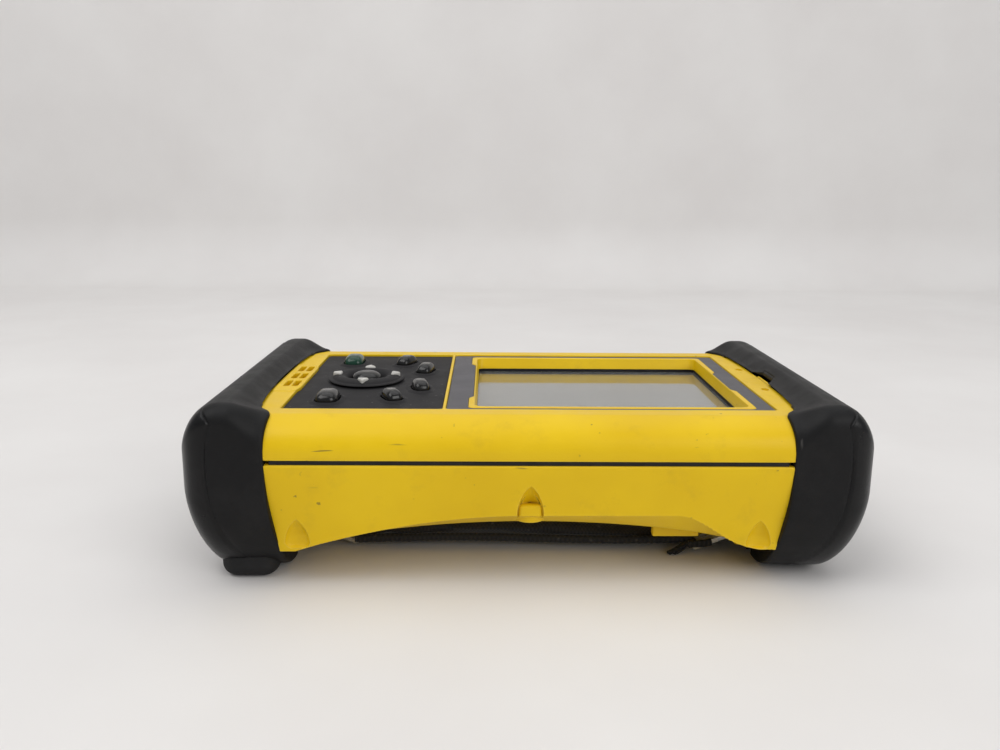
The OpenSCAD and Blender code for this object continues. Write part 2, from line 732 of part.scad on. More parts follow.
// The webbing runs over the outer bar of each hook, through its slot and back
module strap_webbing() {
    color(black) rotate([90, 0, 0]) linear_extrude(35.6, center = true) {
        translate([-41.6, strap_z]) square([83.2, 1.4]);
        for (m = [0, 1]) mirror([m, 0]) difference() {
            polygon([[41.5, 1.4], [44.3, 0.12], [46.9, 0.62], [47.3, 2], [46.2, 3.2], [43.4, 3],
                [41.5, 2.8]]);
            polygon([[43.98, 1.78], [44.5, 0.6], [46.2, 1.22], [45.75, 2.5]]);
        }
    }
}
module strap_pad() {
    color("#1c1c1d") rotate([90, 0, 0]) linear_extrude(46, center = true) polygon(concat(
        [for (k = [0:12]) let (t = k / 12) [-40 + 78 * t, strap_z + 1.5]],
        [for (k = [12:-1:0]) let (t = k / 12) [-40 + 78 * t, strap_z + 2.6 + 3.6 * sin(180 * t)]]));
}
module strap_pins() {
    color(steel) for (s = [-1, 1]) translate([s * 54.6, 0, 6.3]) rotate([90, 0, 0])
        cylinder(r = 1.22, h = 58, center = true);
}
// Slotted plate on a tube that turns on a pin, hw wide to each side
module hook(hw) {
    translate([54.6, 0, 6.3]) {
        rotate([90, 0, 0]) difference() {
            cylinder(r = 2.1, h = 2 * hw + 1, center = true);
            cylinder(r = 1.28, h = 60, center = true);
        }
        rotate([0, -22, 0]) translate([-11.4, -hw, -1.4]) difference() {
            cube([10, 2 * hw, 1.1]);
            translate([1.6, hw - 18.3, -1]) cube([3.4, 36.6, 4]);
        }
    }
}

module strap_hooks() {
    color(steel) {
        hook(24.5);
        mirror([1, 0, 0]) hook(20.8);
    }
}
module strap_tail() {
    color(black) translate([37, -26.4, 0.3]) rotate([0, 0, 28]) cube([5, 5, 0.9]);
}

front_case();
back_case();
case_gasket();
keypad_overlay();
bezel_overlay();
touch_glass();
screen_gasket();
lcd_panel();
lcd_frame();
main_board();
board_chips();
keypad_board();
key_domes();
speaker();
microphone();
card_socket_upper();
card_socket_lower();
backup_cell();
case_screws();
board_screws();
lcd_ribbon();
keypad_ribbon();
contact_block();
boot_seals();
strap_pad();
strap_webbing();
strap_pins();
strap_hooks();
strap_tail();
battery_boot();
battery_cells();
battery_contacts();
boot_feet();
boot_screws();
port_board();
serial_shell();
serial_pins();
jack_posts();
usb_socket();
power_jack();
card_cap();
cap_screws();
power_key();
app_key_1();
app_key_2();
app_key_3();
app_key_4();
start_key();
enter_key();
direction_ring();
arrow_marks();
pad_rocker();
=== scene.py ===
import json
from math import acos, atan2, cos, exp, pi, radians, sin, sqrt, tan

import bpy
import numpy as np
from mathutils import Matrix, Vector


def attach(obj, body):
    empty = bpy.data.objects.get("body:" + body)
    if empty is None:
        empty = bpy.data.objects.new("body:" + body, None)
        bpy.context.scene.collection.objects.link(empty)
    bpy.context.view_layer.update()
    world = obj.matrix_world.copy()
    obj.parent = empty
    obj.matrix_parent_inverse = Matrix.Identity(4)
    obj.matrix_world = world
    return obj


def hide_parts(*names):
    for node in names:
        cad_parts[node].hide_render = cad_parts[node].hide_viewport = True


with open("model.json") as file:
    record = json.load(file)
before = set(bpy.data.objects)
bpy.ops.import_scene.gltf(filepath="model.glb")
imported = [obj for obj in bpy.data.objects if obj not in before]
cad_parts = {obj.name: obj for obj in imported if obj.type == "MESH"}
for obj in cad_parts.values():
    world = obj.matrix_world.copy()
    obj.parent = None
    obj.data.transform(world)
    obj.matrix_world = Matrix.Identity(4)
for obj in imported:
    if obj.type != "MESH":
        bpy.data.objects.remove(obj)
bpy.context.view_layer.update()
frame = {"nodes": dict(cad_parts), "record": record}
NODES = frame["nodes"]
MM = 0.001

# Sizes in mm, in the CAD model's frame
BODY_L, BODY_W, BODY_H = 165.0, 95.0, 45.0
CASE_HW = 46.5
RIM_Z = 41.4
SEAM = (30.72, 31.78)
CREASE_Y = 39.9
EAR_Y = 41.5
PANEL_HW = 34.7
KEYPAD_X = (-60.0, -20.9)
SCREEN_X = (-20.1, 60.7)
RECESS_Z = 40.0
OVERLAY_Z = 40.8
SCREEN_SHEET_Z = 41.0
BEZEL_Z = 41.15
SLOPE_Z = 38.2
VIEW_X = (-12.65, 54.55)
VIEW_HW = 29.6
PLUG_X, PLUG_HW, PLUG_Z = 63.6, 42.9, (10.2, 38.55)
SCREW_X, SCREW_Y = (-55.0, 0.3, 55.0), 40.3
ARCH_Z, BACK_Z, BACK_FOOT = 18.0, 14.8, 8.5
END_X, ROLL_X = BODY_L / 2, 72.0
SHELL_GAP = 0.16
CORE_Z, CORE_HW = 28.0, 33.5
KEY_GAP = 0.3
WEB_HW = 17.8
PAD_HW = 22.6
RING_AT = (-43.6, 0.0)
BAY_X, BAY_Y, BAY_Z = 74.0, (11.2, 42.6), (10.4, 38.0)
SERIAL_AT, USB_AT, POWER_AT = (26.9, 30.2), (19.4, 16.8), (34.4, 16.8)
# x, y, length along X, width along Y, turn in degrees
KEYS = {
    "power_key": (-50.4, 23.6, 5.7, 8.6, 0),
    "start_key": (-50.4, -23.6, 5.7, 8.6, 0),
    "app_key_1": (-34.4, 22.2, 4.4, 7.4, -24),
    "app_key_2": (-27.9, 10.9, 4.4, 7.4, -12),
    "app_key_3": (-27.9, -10.9, 4.4, 7.4, 12),
    "app_key_4": (-34.4, -22.2, 4.4, 7.4, 24),
}


# ---- outlines: counter-clockwise loops of points
def arc(cx, cy, rx, ry, a0, a1, steps):
    t = np.radians(np.linspace(a0, a1, steps + 1))
    return np.column_stack([cx + rx * np.cos(t), cy + ry * np.sin(t)])


def rounded(points, radius, steps=6):
    """A polygon with rounded corners; radius is one number or one per corner."""
    pts = [np.array(p, float) for p in points]
    n = len(pts)
    radii = [radius] * n if np.isscalar(radius) else radius
    out = []
    for i in range(n):
        a, b, c = pts[i - 1], pts[i], pts[(i + 1) % n]
        u = (a - b) / np.linalg.norm(a - b)
        v = (c - b) / np.linalg.norm(c - b)
        half = acos(max(-1.0, min(1.0, float(u @ v)))) / 2
        if radii[i] <= 0 or half > 1.55:
            out.append(b)
            continue
        mid = (u + v) / np.linalg.norm(u + v)
        centre = b + mid * radii[i] / sin(half)
        s, e = b + u * radii[i] / tan(half), b + v * radii[i] / tan(half)
        a0 = atan2(*(s - centre)[::-1])
        turn = atan2(*(e - centre)[::-1]) - a0
        turn = (turn + pi) % (2 * pi) - pi
        for k in range(steps + 1):
            t = a0 + turn * k / steps
            out.append(centre + radii[i] * np.array([cos(t), sin(t)]))
    return np.array(out)


def box_outline(x0, x1, y0, y1, radius, steps=6):
    return rounded([(x0, y0), (x1, y0), (x1, y1), (x0, y1)], radius, steps)


def unit_rows(v):
    return v / np.maximum(np.linalg.norm(v, axis=1, keepdims=True), 1e-9)


def circle(step):
    """Points on a unit circle, one every step degrees."""
    t = np.radians(np.arange(0, 360, float(step)))
    return np.column_stack([np.cos(t), np.sin(t)])


def signed_power(v, power):
    return np.sign(v) * np.abs(v) ** power


def grown(loop, d):
    """The loop moved outwards by d."""
    before = loop - np.roll(loop, 1, axis=0)
    after = np.roll(loop, -1, axis=0) - loop
    n1 = unit_rows(np.column_stack([before[:, 1], -before[:, 0]]))
    n2 = unit_rows(np.column_stack([after[:, 1], -after[:, 0]]))
    mid = unit_rows(n1 + n2)
    return loop + mid * d / np.maximum((mid * n1).sum(axis=1, keepdims=True), 0.3)


def level(loop, z):
    return np.column_stack([loop, np.full(len(loop), float(z))])


def at_x(loop, x):
    """A YZ loop placed at x."""
    return np.column_stack([np.full(len(loop), float(x)), loop])


def placed(loop, x, y, turn):
    """A flat loop turned about the origin, in degrees, then moved to x, y."""
    c, s = cos(radians(turn)), sin(radians(turn))
    return np.column_stack([loop[:, 0] * c - loop[:, 1] * s + x, loop[:, 0] * s + loop[:, 1] * c + y])


def mirrored(half):
    return np.vstack([half, half[::-1] * [-1, 1]])


# ---- meshes
def add_object(name, data):
    obj = bpy.data.objects.new(name, data)
    bpy.context.scene.collection.objects.link(obj)
    return obj


def piece(name, points, faces):
    """A mesh object from points in mm."""
    mesh = bpy.data.meshes.new(name)
    mesh.from_pydata((np.asarray(points, float) * MM).tolist(), [], faces)
    mesh.validate()
    return add_object(name, mesh)


def coordinates(mesh):
    """Vertex positions in metres, one row each."""
    co = np.zeros(len(mesh.vertices) * 3)
    mesh.vertices.foreach_get("co", co)
    return co.reshape(-1, 3)


def evaluated_mesh(obj):
    """A new mesh with the object's modifiers applied."""
    return bpy.data.meshes.new_from_object(obj.evaluated_get(bpy.context.evaluated_depsgraph_get()))


def loft(name, rings, closed=False):
    """A skin through rings of equal length. Ends are capped, or joined if closed."""
    n, m = len(rings[0]), len(rings)
    faces = []
    for i in range(m if closed else m - 1):
        a, b = i * n, ((i + 1) % m) * n
        faces += [(a + j, a + (j + 1) % n, b + (j + 1) % n, b + j) for j in range(n)]
    if not closed:
        faces.append(tuple(range(n - 1, -1, -1)))
        faces.append(tuple((m - 1) * n + j for j in range(n)))
    return piece(name, np.vstack(rings), faces)


def boss(name, loop, low, top, fillet=0.3, steps=5):
    """A raised form with a rounded top edge."""
    rings = [level(loop, low)]
    for k in range(steps + 1):
        t = pi / 2 * k / steps
        rings.append(level(grown(loop, -fillet * (1 - cos(t))), top - fillet * (1 - sin(t))))
    return loft(name, rings)


def router(loop, low, top, fillet):
    """A cutter for a pocket or hole whose mouth at height top is rounded."""
    rings = [level(loop, low)]
    for k in range(6):
        t = pi / 2 * k / 5
        rings.append(level(grown(loop, fillet * (1 - cos(t))), top - fillet * (1 - sin(t)) + 0.01))
    rings.append(level(grown(loop, fillet), top + 4))
    return loft("cutter", rings)


def block(x0, x1, y0, y1, z0, z1):
    loop = np.array([(x0, y0), (x1, y0), (x1, y1), (x0, y1)], float)
    return loft("block", [level(loop, z0), level(loop, z1)])


def rod(start, end, radius, steps=32):
    """A cylinder between two points."""
    start, end = np.array(start, float), np.array(end, float)
    axis = (end - start) / np.linalg.norm(end - start)
    side = np.cross(axis, [0, 0, 1.0] if abs(axis[2]) < 0.9 else [1.0, 0, 0])
    side /= np.linalg.norm(side)
    up = np.cross(axis, side)
    t = np.linspace(0, 2 * pi, steps, endpoint=False)
    unit = np.outer(np.cos(t), side) + np.outer(np.sin(t), up)
    return loft("rod", [start + unit * radius, end + unit * radius])


def combine(target, cutters, operation="DIFFERENCE"):
    """Cuts, joins or intersects target with each of the other meshes, which are then removed."""
    for c in cutters:
        mod = target.modifiers.new("combine", "BOOLEAN")
        mod.operation, mod.object, mod.solver = operation, c, "EXACT"
    bpy.context.view_layer.update()
    mesh = evaluated_mesh(target)
    target.modifiers.clear()
    old, target.data = target.data, mesh
    bpy.data.meshes.remove(old)
    for c in cutters:
        bpy.data.objects.remove(c)
    return target


def soften(obj, angle=32):
    """Smooth shading that keeps real edges sharp and flat faces flat."""
    obj.data.shade_smooth()
    obj.data.set_sharp_from_angle(angle=radians(angle))
    weighted = obj.modifiers.new("weighted", "WEIGHTED_NORMAL")
    weighted.keep_sharp = True
    weighted.weight = 80
    return obj


def dress(obj, material, body, slot, *nodes):
    """Material, body, record slot (not used) and the CAD nodes the piece stands for."""
    obj.data.materials.clear()
    obj.data.materials.append(material)
    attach(obj, body)
    if nodes:
        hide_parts(*nodes)
    return obj


# ---- materials
class Shader:
    """A node material under construction, with small helpers for the usual nodes."""

    def __init__(self, name):
        self.material = bpy.data.materials.new(name)
        self.material.use_nodes = True
        self.tree = self.material.node_tree
        self.bsdf = self.tree.nodes["Principled BSDF"]
        self.coords = self.tree.nodes.new("ShaderNodeTexCoord").outputs["Object"]

    def node(self, kind, **settings):
        n = self.tree.nodes.new(kind)
        for key, value in settings.items():
            setattr(n, key, value)
        return n

    def link(self, a, b):
        self.tree.links.new(a, b)

    def put(self, socket, value):
        if hasattr(value, "is_output"):
            self.link(value, socket)
        else:
            socket.default_value = value

    def put_color(self, socket, color):
        self.put(socket, color if hasattr(color, "is_output") else (*color, 1.0))

    def stretched(self, stretch):
        mapping = self.node("ShaderNodeMapping")
        mapping.inputs["Scale"].default_value = stretch
        self.link(self.coords, mapping.inputs["Vector"])
        return mapping.outputs[0]

    def noise(self, scale, detail=3.0, stretch=(1, 1, 1), rough=0.55, distortion=0.0):
        n = self.node("ShaderNodeTexNoise")
        self.link(self.stretched(stretch), n.inputs["Vector"])
        n.inputs["Scale"].default_value = scale
        n.inputs["Detail"].default_value = detail
        n.inputs["Roughness"].default_value = rough
        n.inputs["Distortion"].default_value = distortion
        return n.outputs["Fac"]

    def ramp(self, value, low, high, out_low=0.0, out_high=1.0):
        n = self.node("ShaderNodeMapRange", clamp=True)
        for key, v in zip(("Value", "From Min", "From Max", "To Min", "To Max"),
                          (value, low, high, out_low, out_high)):
            self.put(n.inputs[key], v)
        return n.outputs[0]

    def math(self, operation, a, b=0.0):
        n = self.node("ShaderNodeMath", operation=operation)
        self.put(n.inputs[0], a)
        self.put(n.inputs[1], b)
        return n.outputs[0]

    def mix(self, factor, a, b):
        n = self.node("ShaderNodeMix", data_type="RGBA")
        self.put(n.inputs[0], factor)
        self.put_color(n.inputs[6], a)
        self.put_color(n.inputs[7], b)
        return n.outputs[2]

    def cells(self, scale, stretch=(1, 1, 1)):
        n = self.node("ShaderNodeTexVoronoi")
        self.link(self.stretched(stretch), n.inputs["Vector"])
        n.inputs["Scale"].default_value = scale
        return n.outputs["Distance"]

    def attribute(self, name):
        return self.node("ShaderNodeAttribute", attribute_name=name).outputs["Fac"]

    def rounded_normal(self, radius):
        n = self.node("ShaderNodeBevel", samples=4)
        n.inputs["Radius"].default_value = radius
        return n.outputs[0]

    def edges(self, radius):
        """1 near sharp edges, 0 on open faces."""
        geometry = self.node("ShaderNodeNewGeometry")
        dot = self.node("ShaderNodeVectorMath", operation="DOT_PRODUCT")
        self.link(self.rounded_normal(radius), dot.inputs[0])
        self.link(geometry.outputs["Normal"], dot.inputs[1])
        return self.ramp(dot.outputs["Value"], 0.99, 0.80)

    def bump(self, height, strength, distance, round_edges=0.0):
        n = self.node("ShaderNodeBump")
        n.inputs["Strength"].default_value = strength
        n.inputs["Distance"].default_value = distance
        self.link(height, n.inputs["Height"])
        if round_edges:
            self.link(self.rounded_normal(round_edges), n.inputs["Normal"])
        self.link(n.outputs[0], self.bsdf.inputs["Normal"])

    def finish(self, color, roughness, **inputs):
        self.put_color(self.bsdf.inputs["Base Color"], color)
        self.put(self.bsdf.inputs["Roughness"], roughness)
        for key, value in inputs.items():
            self.put(self.bsdf.inputs[key.replace("_", " ")], value)
        return self.material


def yellow_plastic():
    s = Shader("yellow_plastic")
    tone = s.ramp(s.noise(38, 3), 0.3, 0.7)
    base = s.mix(tone, (0.72, 0.465, 0.003), (0.79, 0.53, 0.005))
    grime = s.ramp(s.noise(90, 6, rough=0.7), 0.56, 0.80, 0.0, 0.30)
    base = s.mix(grime, base, (0.44, 0.27, 0.02))
    specks = s.math("MULTIPLY",
                    s.ramp(s.noise(520, 2), 0.70, 0.745),
                    s.ramp(s.noise(60, 2), 0.50, 0.62))
    scratches = s.math("MULTIPLY",
                       s.ramp(s.noise(420, 2, (0.16, 1, 1), distortion=0.6), 0.715, 0.75),
                       s.ramp(s.noise(45, 2), 0.52, 0.62))
    marks = s.math("MAXIMUM", specks, scratches)
    base = s.mix(s.math("MULTIPLY", marks, 0.72), base, (0.10, 0.07, 0.03))
    # Sharp edges painted paler yellow: a painted highlight along the edges.
    base = s.mix(s.math("MULTIPLY", s.edges(0.0005), 0.38), base, (0.88, 0.70, 0.16))
    rough = s.ramp(s.noise(150, 4), 0.3, 0.7, 0.34, 0.47)
    grain = s.math("ADD", s.noise(2600, 2), s.math("MULTIPLY", s.noise(240, 3), 0.7))
    s.bump(grain, 0.10, 0.0003, 0.00025)
    return s.finish(base, rough, Specular_IOR_Level=0.26)


def boot_rubber():
    s = Shader("boot_rubber")
    outer = s.attribute("outboard")
    dust = s.ramp(s.noise(70, 5, rough=0.7), 0.45, 0.80)
    base = s.mix(dust, (0.0032, 0.0032, 0.0036), (0.0095, 0.0092, 0.0092))
    scuffs = s.math("MULTIPLY",
                    s.ramp(s.noise(330, 3, (1, 1, 0.2)), 0.69, 0.76),
                    s.ramp(s.noise(50), 0.52, 0.62))
    base = s.mix(s.math("MULTIPLY", scuffs, 0.35), base, (0.16, 0.15, 0.14))
    rough = s.math("ADD",
                   s.ramp(outer, 0.0, 1.0, 0.50, 0.30),
                   s.ramp(s.noise(160, 4), 0.3, 0.7, -0.04, 0.07))
    grain = s.math("ADD", s.noise(3200, 2), s.math("MULTIPLY", s.noise(300, 3), 0.8))
    s.bump(grain, 0.16, 0.0003, 0.0002)
    return s.finish(base, rough, Specular_IOR_Level=0.24)


def overlay_plastic(name, color, pale, rough):
    s = Shader(name)
    base = s.mix(s.ramp(s.noise(60, 5), 0.35, 0.75), color, pale)
    dust = s.math("MULTIPLY", s.ramp(s.noise(900, 2), 0.70, 0.75), 0.5)
    base = s.mix(dust, base, (0.20, 0.19, 0.18))
    s.bump(s.cells(2300), 0.14, 0.0002)
    rough = s.ramp(s.noise(120, 3), 0.3, 0.7, rough - 0.05, rough + 0.06)
    return s.finish(base, rough, Specular_IOR_Level=0.18)


def key_plastic(name, color, worn):
    s = Shader(name)
    base = s.mix(s.ramp(s.noise(140, 4), 0.45, 0.8, 0.0, 0.6), color, worn)
    s.bump(s.noise(1400, 2), 0.05, 0.0002)
    return s.finish(base, s.ramp(s.noise(300, 4), 0.3, 0.75, 0.12, 0.26), Specular_IOR_Level=0.42)


def plain_plastic(name, color, rough):
    s = Shader(name)
    darker = tuple(c * 0.72 for c in color)
    base = s.mix(s.ramp(s.noise(180, 4), 0.3, 0.75), color, darker)
    s.bump(s.noise(1800, 2), 0.08, 0.0002)
    return s.finish(base, s.ramp(s.noise(240, 4), 0.3, 0.7, rough - 0.06, rough + 0.08))


def brushed_metal(name, color, rough):
    s = Shader(name)
    grain = s.noise(700, 3, (0.05, 1, 1))
    base = s.mix(s.ramp(grain, 0.3, 0.7), color, tuple(c * 0.9 for c in color))
    s.bump(grain, 0.03, 0.0001, 0.0001)
    return s.finish(base, s.ramp(grain, 0.3, 0.7, rough - 0.06, rough + 0.10), Metallic=1.0)


def board_mask():
    s = Shader("board_mask")
    tracks = s.ramp(s.cells(420, stretch=(1, 0.35, 1)), 0.02, 0.06)
    base = s.mix(tracks, (0.02, 0.17, 0.06), (0.008, 0.075, 0.028))
    s.bump(tracks, 0.2, 0.0001)
    return s.finish(base, 0.35)


def screen_glass():
    """Clear touch glass with faint smears, over the dark display."""
    s = Shader("screen_glass")
    smears = s.ramp(s.noise(55, 4, (0.4, 1, 1)), 0.45, 0.75)
    rough = s.ramp(smears, 0.0, 1.0, 0.03, 0.10)
    return s.finish(s.mix(smears, (0.86, 0.87, 0.85), (0.80, 0.80, 0.77)), rough,
                    Transmission_Weight=0.92, IOR=1.5)


def display_face():
    s = Shader("display_face")
    base = s.mix(s.noise(3000, 1), (0.115, 0.118, 0.11), (0.125, 0.128, 0.12))
    return s.finish(base, 0.22)


def woven(name, color, scale, sheen=0.25):
    """Plain weave from two crossed sets of threads."""
    s = Shader(name)
    split = s.node("ShaderNodeSeparateXYZ")
    s.link(s.coords, split.inputs[0])
    waves = [s.math("SINE", s.math("MULTIPLY", axis, scale)) for axis in split.outputs[:2]]
    threads = s.math("MULTIPLY", *waves)
    base = s.mix(s.ramp(threads, -0.8, 0.8), tuple(c * 0.7 for c in color), color)
    lint = s.math("MULTIPLY", s.ramp(s.noise(420, 3), 0.66, 0.75), 0.35)
    base = s.mix(lint, base, (0.16, 0.15, 0.14))
    s.bump(threads, 0.35, 0.0001)
    return s.finish(base, s.ramp(threads, -1, 1, 0.9, 0.65), Sheen_Weight=sheen)


def stitch_thread():
    s = Shader("stitch_thread")
    twist = s.ramp(s.noise(2400, 2, (1, 0.3, 1)), 0.3, 0.7)
    s.bump(twist, 0.4, 0.0001)
    return s.finish(s.mix(twist, (0.02, 0.02, 0.02), (0.05, 0.05, 0.05)), 0.7)


YELLOW = yellow_plastic()
RUBBER = boot_rubber()
MEMBRANE = overlay_plastic("keypad_membrane", (0.013, 0.0125, 0.0135), (0.021, 0.020, 0.021), 0.62)
GREY = overlay_plastic("grey_overlay", (0.082, 0.080, 0.088), (0.104, 0.100, 0.108), 0.46)
BLACK_KEY = key_plastic("black_key", (0.005, 0.005, 0.005), (0.034, 0.033, 0.030))
GREEN_KEY = key_plastic("green_key", (0.007, 0.045, 0.026), (0.030, 0.070, 0.050))
PALE = plain_plastic("pale_mark", (0.62, 0.61, 0.57), 0.3)
WORN = plain_plastic("worn_mark", (0.30, 0.29, 0.27), 0.3)
BLACK = plain_plastic("black_plastic", (0.017, 0.017, 0.018), 0.42)
SEAL = plain_plastic("seal_rubber", (0.004, 0.004, 0.0045), 0.75)
CHIP = plain_plastic("chip_plastic", (0.02, 0.02, 0.021), 0.5)
STEEL = brushed_metal("plated_steel", (0.62, 0.62, 0.60), 0.28)
BRASS = brushed_metal("brass_contacts", (0.72, 0.52, 0.22), 0.25)
BOARD = board_mask()
FILM = plain_plastic("ribbon_film", (0.45, 0.24, 0.08), 0.3)
CELL = plain_plastic("cell_sleeve", (0.10, 0.13, 0.19), 0.28)
GLASS = screen_glass()
DISPLAY = display_face()
PAD_CLOTH = woven("pad_cloth", (0.012, 0.012, 0.013), 6500)
WEB_CLOTH = woven("web_cloth", (0.010, 0.010, 0.011), 5200, 0.1)
THREAD = stitch_thread()
CAD_MATERIALS = {
    "yellow_case": YELLOW, "seal_rubber": SEAL, "black_overlay": MEMBRANE, "grey_overlay": GREY,
    "glass": GLASS, "lcd": DISPLAY, "steel": STEEL, "hook_steel": STEEL, "board": BOARD,
    "chip": CHIP, "black_plastic": BLACK, "ribbon": FILM, "strap": PAD_CLOTH,
    "webbing": WEB_CLOTH, "boot_rubber": RUBBER, "foot_rubber": SEAL, "cell": CELL,
    "brass": BRASS, "green_key": GREEN_KEY, "black_key": BLACK_KEY, "pale_mark": PALE,
}


# ---- case
def smooth(t):
    t = np.clip(t, 0, 1)
    return t * t * (3 - 2 * t)


def edge_side(z):
    """Inner edge of a boot on the case sides, by height."""
    z = np.asarray(z, float)
    low, high = np.clip(31 - z, 0, 22), np.clip((z - 35) / 6.5, 0, 1)
    return 61.55 - 0.005 * low ** 2 - 0.55 * high ** 2


def edge_top(y):
    """Inner edge of a boot on the top, by distance from the middle."""
    y = np.abs(np.asarray(y, float))
    return np.where(y < 35, 66.4 - 1.9 * (y / 35) ** 2, 64.5 - 3.5 * smooth((y - 35) / 6.5))


def arch_side(x):
    """Lower edge of the case sides, by length."""
    x = np.asarray(x, float)
    steep = 9.3 + (ARCH_Z - 9.3) * (1 + np.cos(np.pi * np.clip((x - 35.5) / 20.5, 0, 1))) / 2
    return np.where(x < 0, ARCH_Z - x * x / 328, steep)


def arch_back(x):
    x = np.asarray(x, float)
    return np.minimum(arch_side(x) - 0.2, BACK_Z - (x - 1) ** 2 / 560)


def under_back():
    """Everything under the arched back, as a cutter."""
    rings = []
    for x in np.linspace(-62.3, 62.3, 121):
        a, b = float(arch_side(x)), float(arch_back(x))
        edge = [(60, b + 4 * (a - b)), (41.2, b + 0.24 * (a - b)), (40.4, b + 0.06 * (a - b)), (39.4, b)]
        loop = [(-60, -5), *[(-y, z) for y, z in edge], *edge[::-1], (60, -5)]
        rings.append(at_x(loop[::-1], x))
    return loft("cutter", rings)


def beyond(sign):
    """What a boot occupies at one end, as cutters: below the top wall, at its ears, and on the top."""
    far_x, far_y, far_z = 90, 60, 52
    wall_z, ear_z, overlap = 38.6, (38.5, 41.5), 0.05
    flat = [(edge_side(z) + SHELL_GAP, z) for z in (-2, *np.linspace(9, wall_z, 36))]
    flat += [(far_x, wall_z), (far_x, -2)]
    ear = [(edge_side(z) + SHELL_GAP, z) for z in np.linspace(*ear_z, 10)]
    ear += [(edge_side(ear_z[1]) + SHELL_GAP, far_z), (far_x, far_z), (far_x, ear_z[0])]
    y = np.linspace(-EAR_Y, EAR_Y, 97)
    top = np.vstack([np.column_stack([edge_top(y) + SHELL_GAP, y]), [(far_x, EAR_Y), (far_x, -EAR_Y)]])
    deep = [level(top * [sign, 1], z) for z in (PLUG_Z[1], far_z)]
    return [
        across_y(flat, -far_y, far_y, sign),
        across_y(ear, EAR_Y - overlap, far_y, sign),
        across_y(ear, -far_y, overlap - EAR_Y, sign),
        loft("cutter", deep if sign > 0 else deep[::-1]),
    ]


def across_y(outline, y0, y1, sign):
    """An XZ outline extruded along Y, mirrored in X for sign -1."""
    rings = [np.array([(x * sign, y, z) for x, z in outline]) for y in (y0, y1)]
    return loft("cutter", rings[::-1] if sign > 0 else rings)


def prism_x(section, x0, x1):
    return loft("prism", [at_x(section, x) for x in (x0, x1)])


def front_section():
    """Upper half of the case in YZ, from one seam edge over the top to the other."""
    shoulder_z, shoulder_r = 33.5, 9.5
    side = [(CASE_HW - 0.35, SEAM[1]), (CASE_HW - 0.1, SEAM[1] + 0.1), (CASE_HW, SEAM[1] + 0.35),
            (CASE_HW, shoulder_z)]
    rise = (RIM_Z - shoulder_z) / sin(radians(74.4))
    shoulder = arc(CASE_HW - shoulder_r, shoulder_z, shoulder_r, rise, 3, 71, 26)
    crease = [(CREASE_Y - 0.25, RIM_Z - 0.04), (CREASE_Y - 0.9, RIM_Z), (PANEL_HW, RIM_Z + 0.02)]
    return mirrored(np.vstack([side, shoulder, crease]))


def ruled_shell(section):
    """A mirrored section between the two boots' inner edges, its ends ruled straight across."""
    reach = edge_side(section[:, 1]) + SHELL_GAP
    n = len(section)
    faces = [(i, (i + 1) % n, n + (i + 1) % n, n + i) for i in range(n)]
    for i in range(n // 2 - 1):
        faces.append((n - 1 - i, n - 2 - i, i + 1, i))
        faces.append((n + i, n + i + 1, 2 * n - 2 - i, 2 * n - 1 - i))
    ends = [np.column_stack([reach * s, section]) for s in (1, -1)]
    return piece("shell", np.vstack(ends), faces)


def case_wall(z):
    """Half width of the lower case, by height."""
    return np.interp(z, [8.5, 14, 22, 29.4, 30.2], [43.9, 44.6, 45.6, CASE_HW - 0.03, CASE_HW])


def back_section():
    """Lower half of the case in YZ, from one seam edge round the bottom to the other."""
    z = np.linspace(BACK_FOOT, SEAM[0] - 0.6, 17)
    side = np.column_stack([case_wall(z), z])
    seam = [(CASE_HW, SEAM[0] - 0.35), (CASE_HW - 0.1, SEAM[0] - 0.1), (CASE_HW - 0.35, SEAM[0])]
    return mirrored(np.vstack([side, seam]))


def bezel_outline():
    hw = 32.2
    points = [(-14.7, -hw), (56.5, -hw), (56.5, -13.2), (55.4, -11.2), (55.4, 9.4), (56.5, 11.4),
              (56.5, hw), (-14.7, hw), (-14.7, 22), (-13.5, 20), (-13.5, -20), (-14.7, -22)]
    radii = [1.6, 1.6, 0.9, 0.9, 0.9, 0.9, 1.6, 1.6, 0.9, 0.9, 0.9, 0.9]
    return rounded(points, radii)


def screen_cutter():
    """The sloped inside of the screen surround, with rounded top and bottom edges."""
    low = box_outline(VIEW_X[0], VIEW_X[1], -VIEW_HW, VIEW_HW, 1.2, 8)
    high = box_outline(-13.1, 55.0, -30.75, 30.75, 2.2, 8)
    rings = [level(low, 36), level(low, SLOPE_Z)]
    for t in (0.3, 0.6, 0.9, 1.0):
        z = SLOPE_Z + (BEZEL_Z - 0.25 - SLOPE_Z) * t
        rings.append(level(low + (high - low) * t, z))
    for grow, rise in ((0.03, -0.14), (0.1, -0.05), (0.2, 0.01), (0.2, 3)):
        rings.append(level(grown(high, grow), BEZEL_Z + rise))
    return loft("cutter", rings)


def grille_outline():
    points = [(-66.2, -17), (-60.3, -17.2), (-59.5, -12.6), (-59.5, 13.2), (-60.3, 17.6), (-66.2, 17.4)]
    return rounded(points, [0.8, 1.5, 1.2, 1.2, 1.5, 0.8])


def tab_space(gap):
    """The room that the grille tab takes up in the keypad's corner."""
    return boss("tab", grown(grille_outline(), gap), RECESS_Z - 1, RIM_Z + 3, 0.01)


def front_recesses():
    """The two recesses for the overlays; the grille tab stands proud in the keypad's."""
    mouth = RIM_Z + 0.02
    keypad = router(box_outline(*KEYPAD_X, -PANEL_HW, PANEL_HW, 0.9), RECESS_Z, mouth, 0.28)
    combine(keypad, [tab_space(0.02)])
    return [keypad, router(box_outline(*SCREEN_X, -PANEL_HW, PANEL_HW, 1.2), RECESS_Z, mouth, 0.28)]


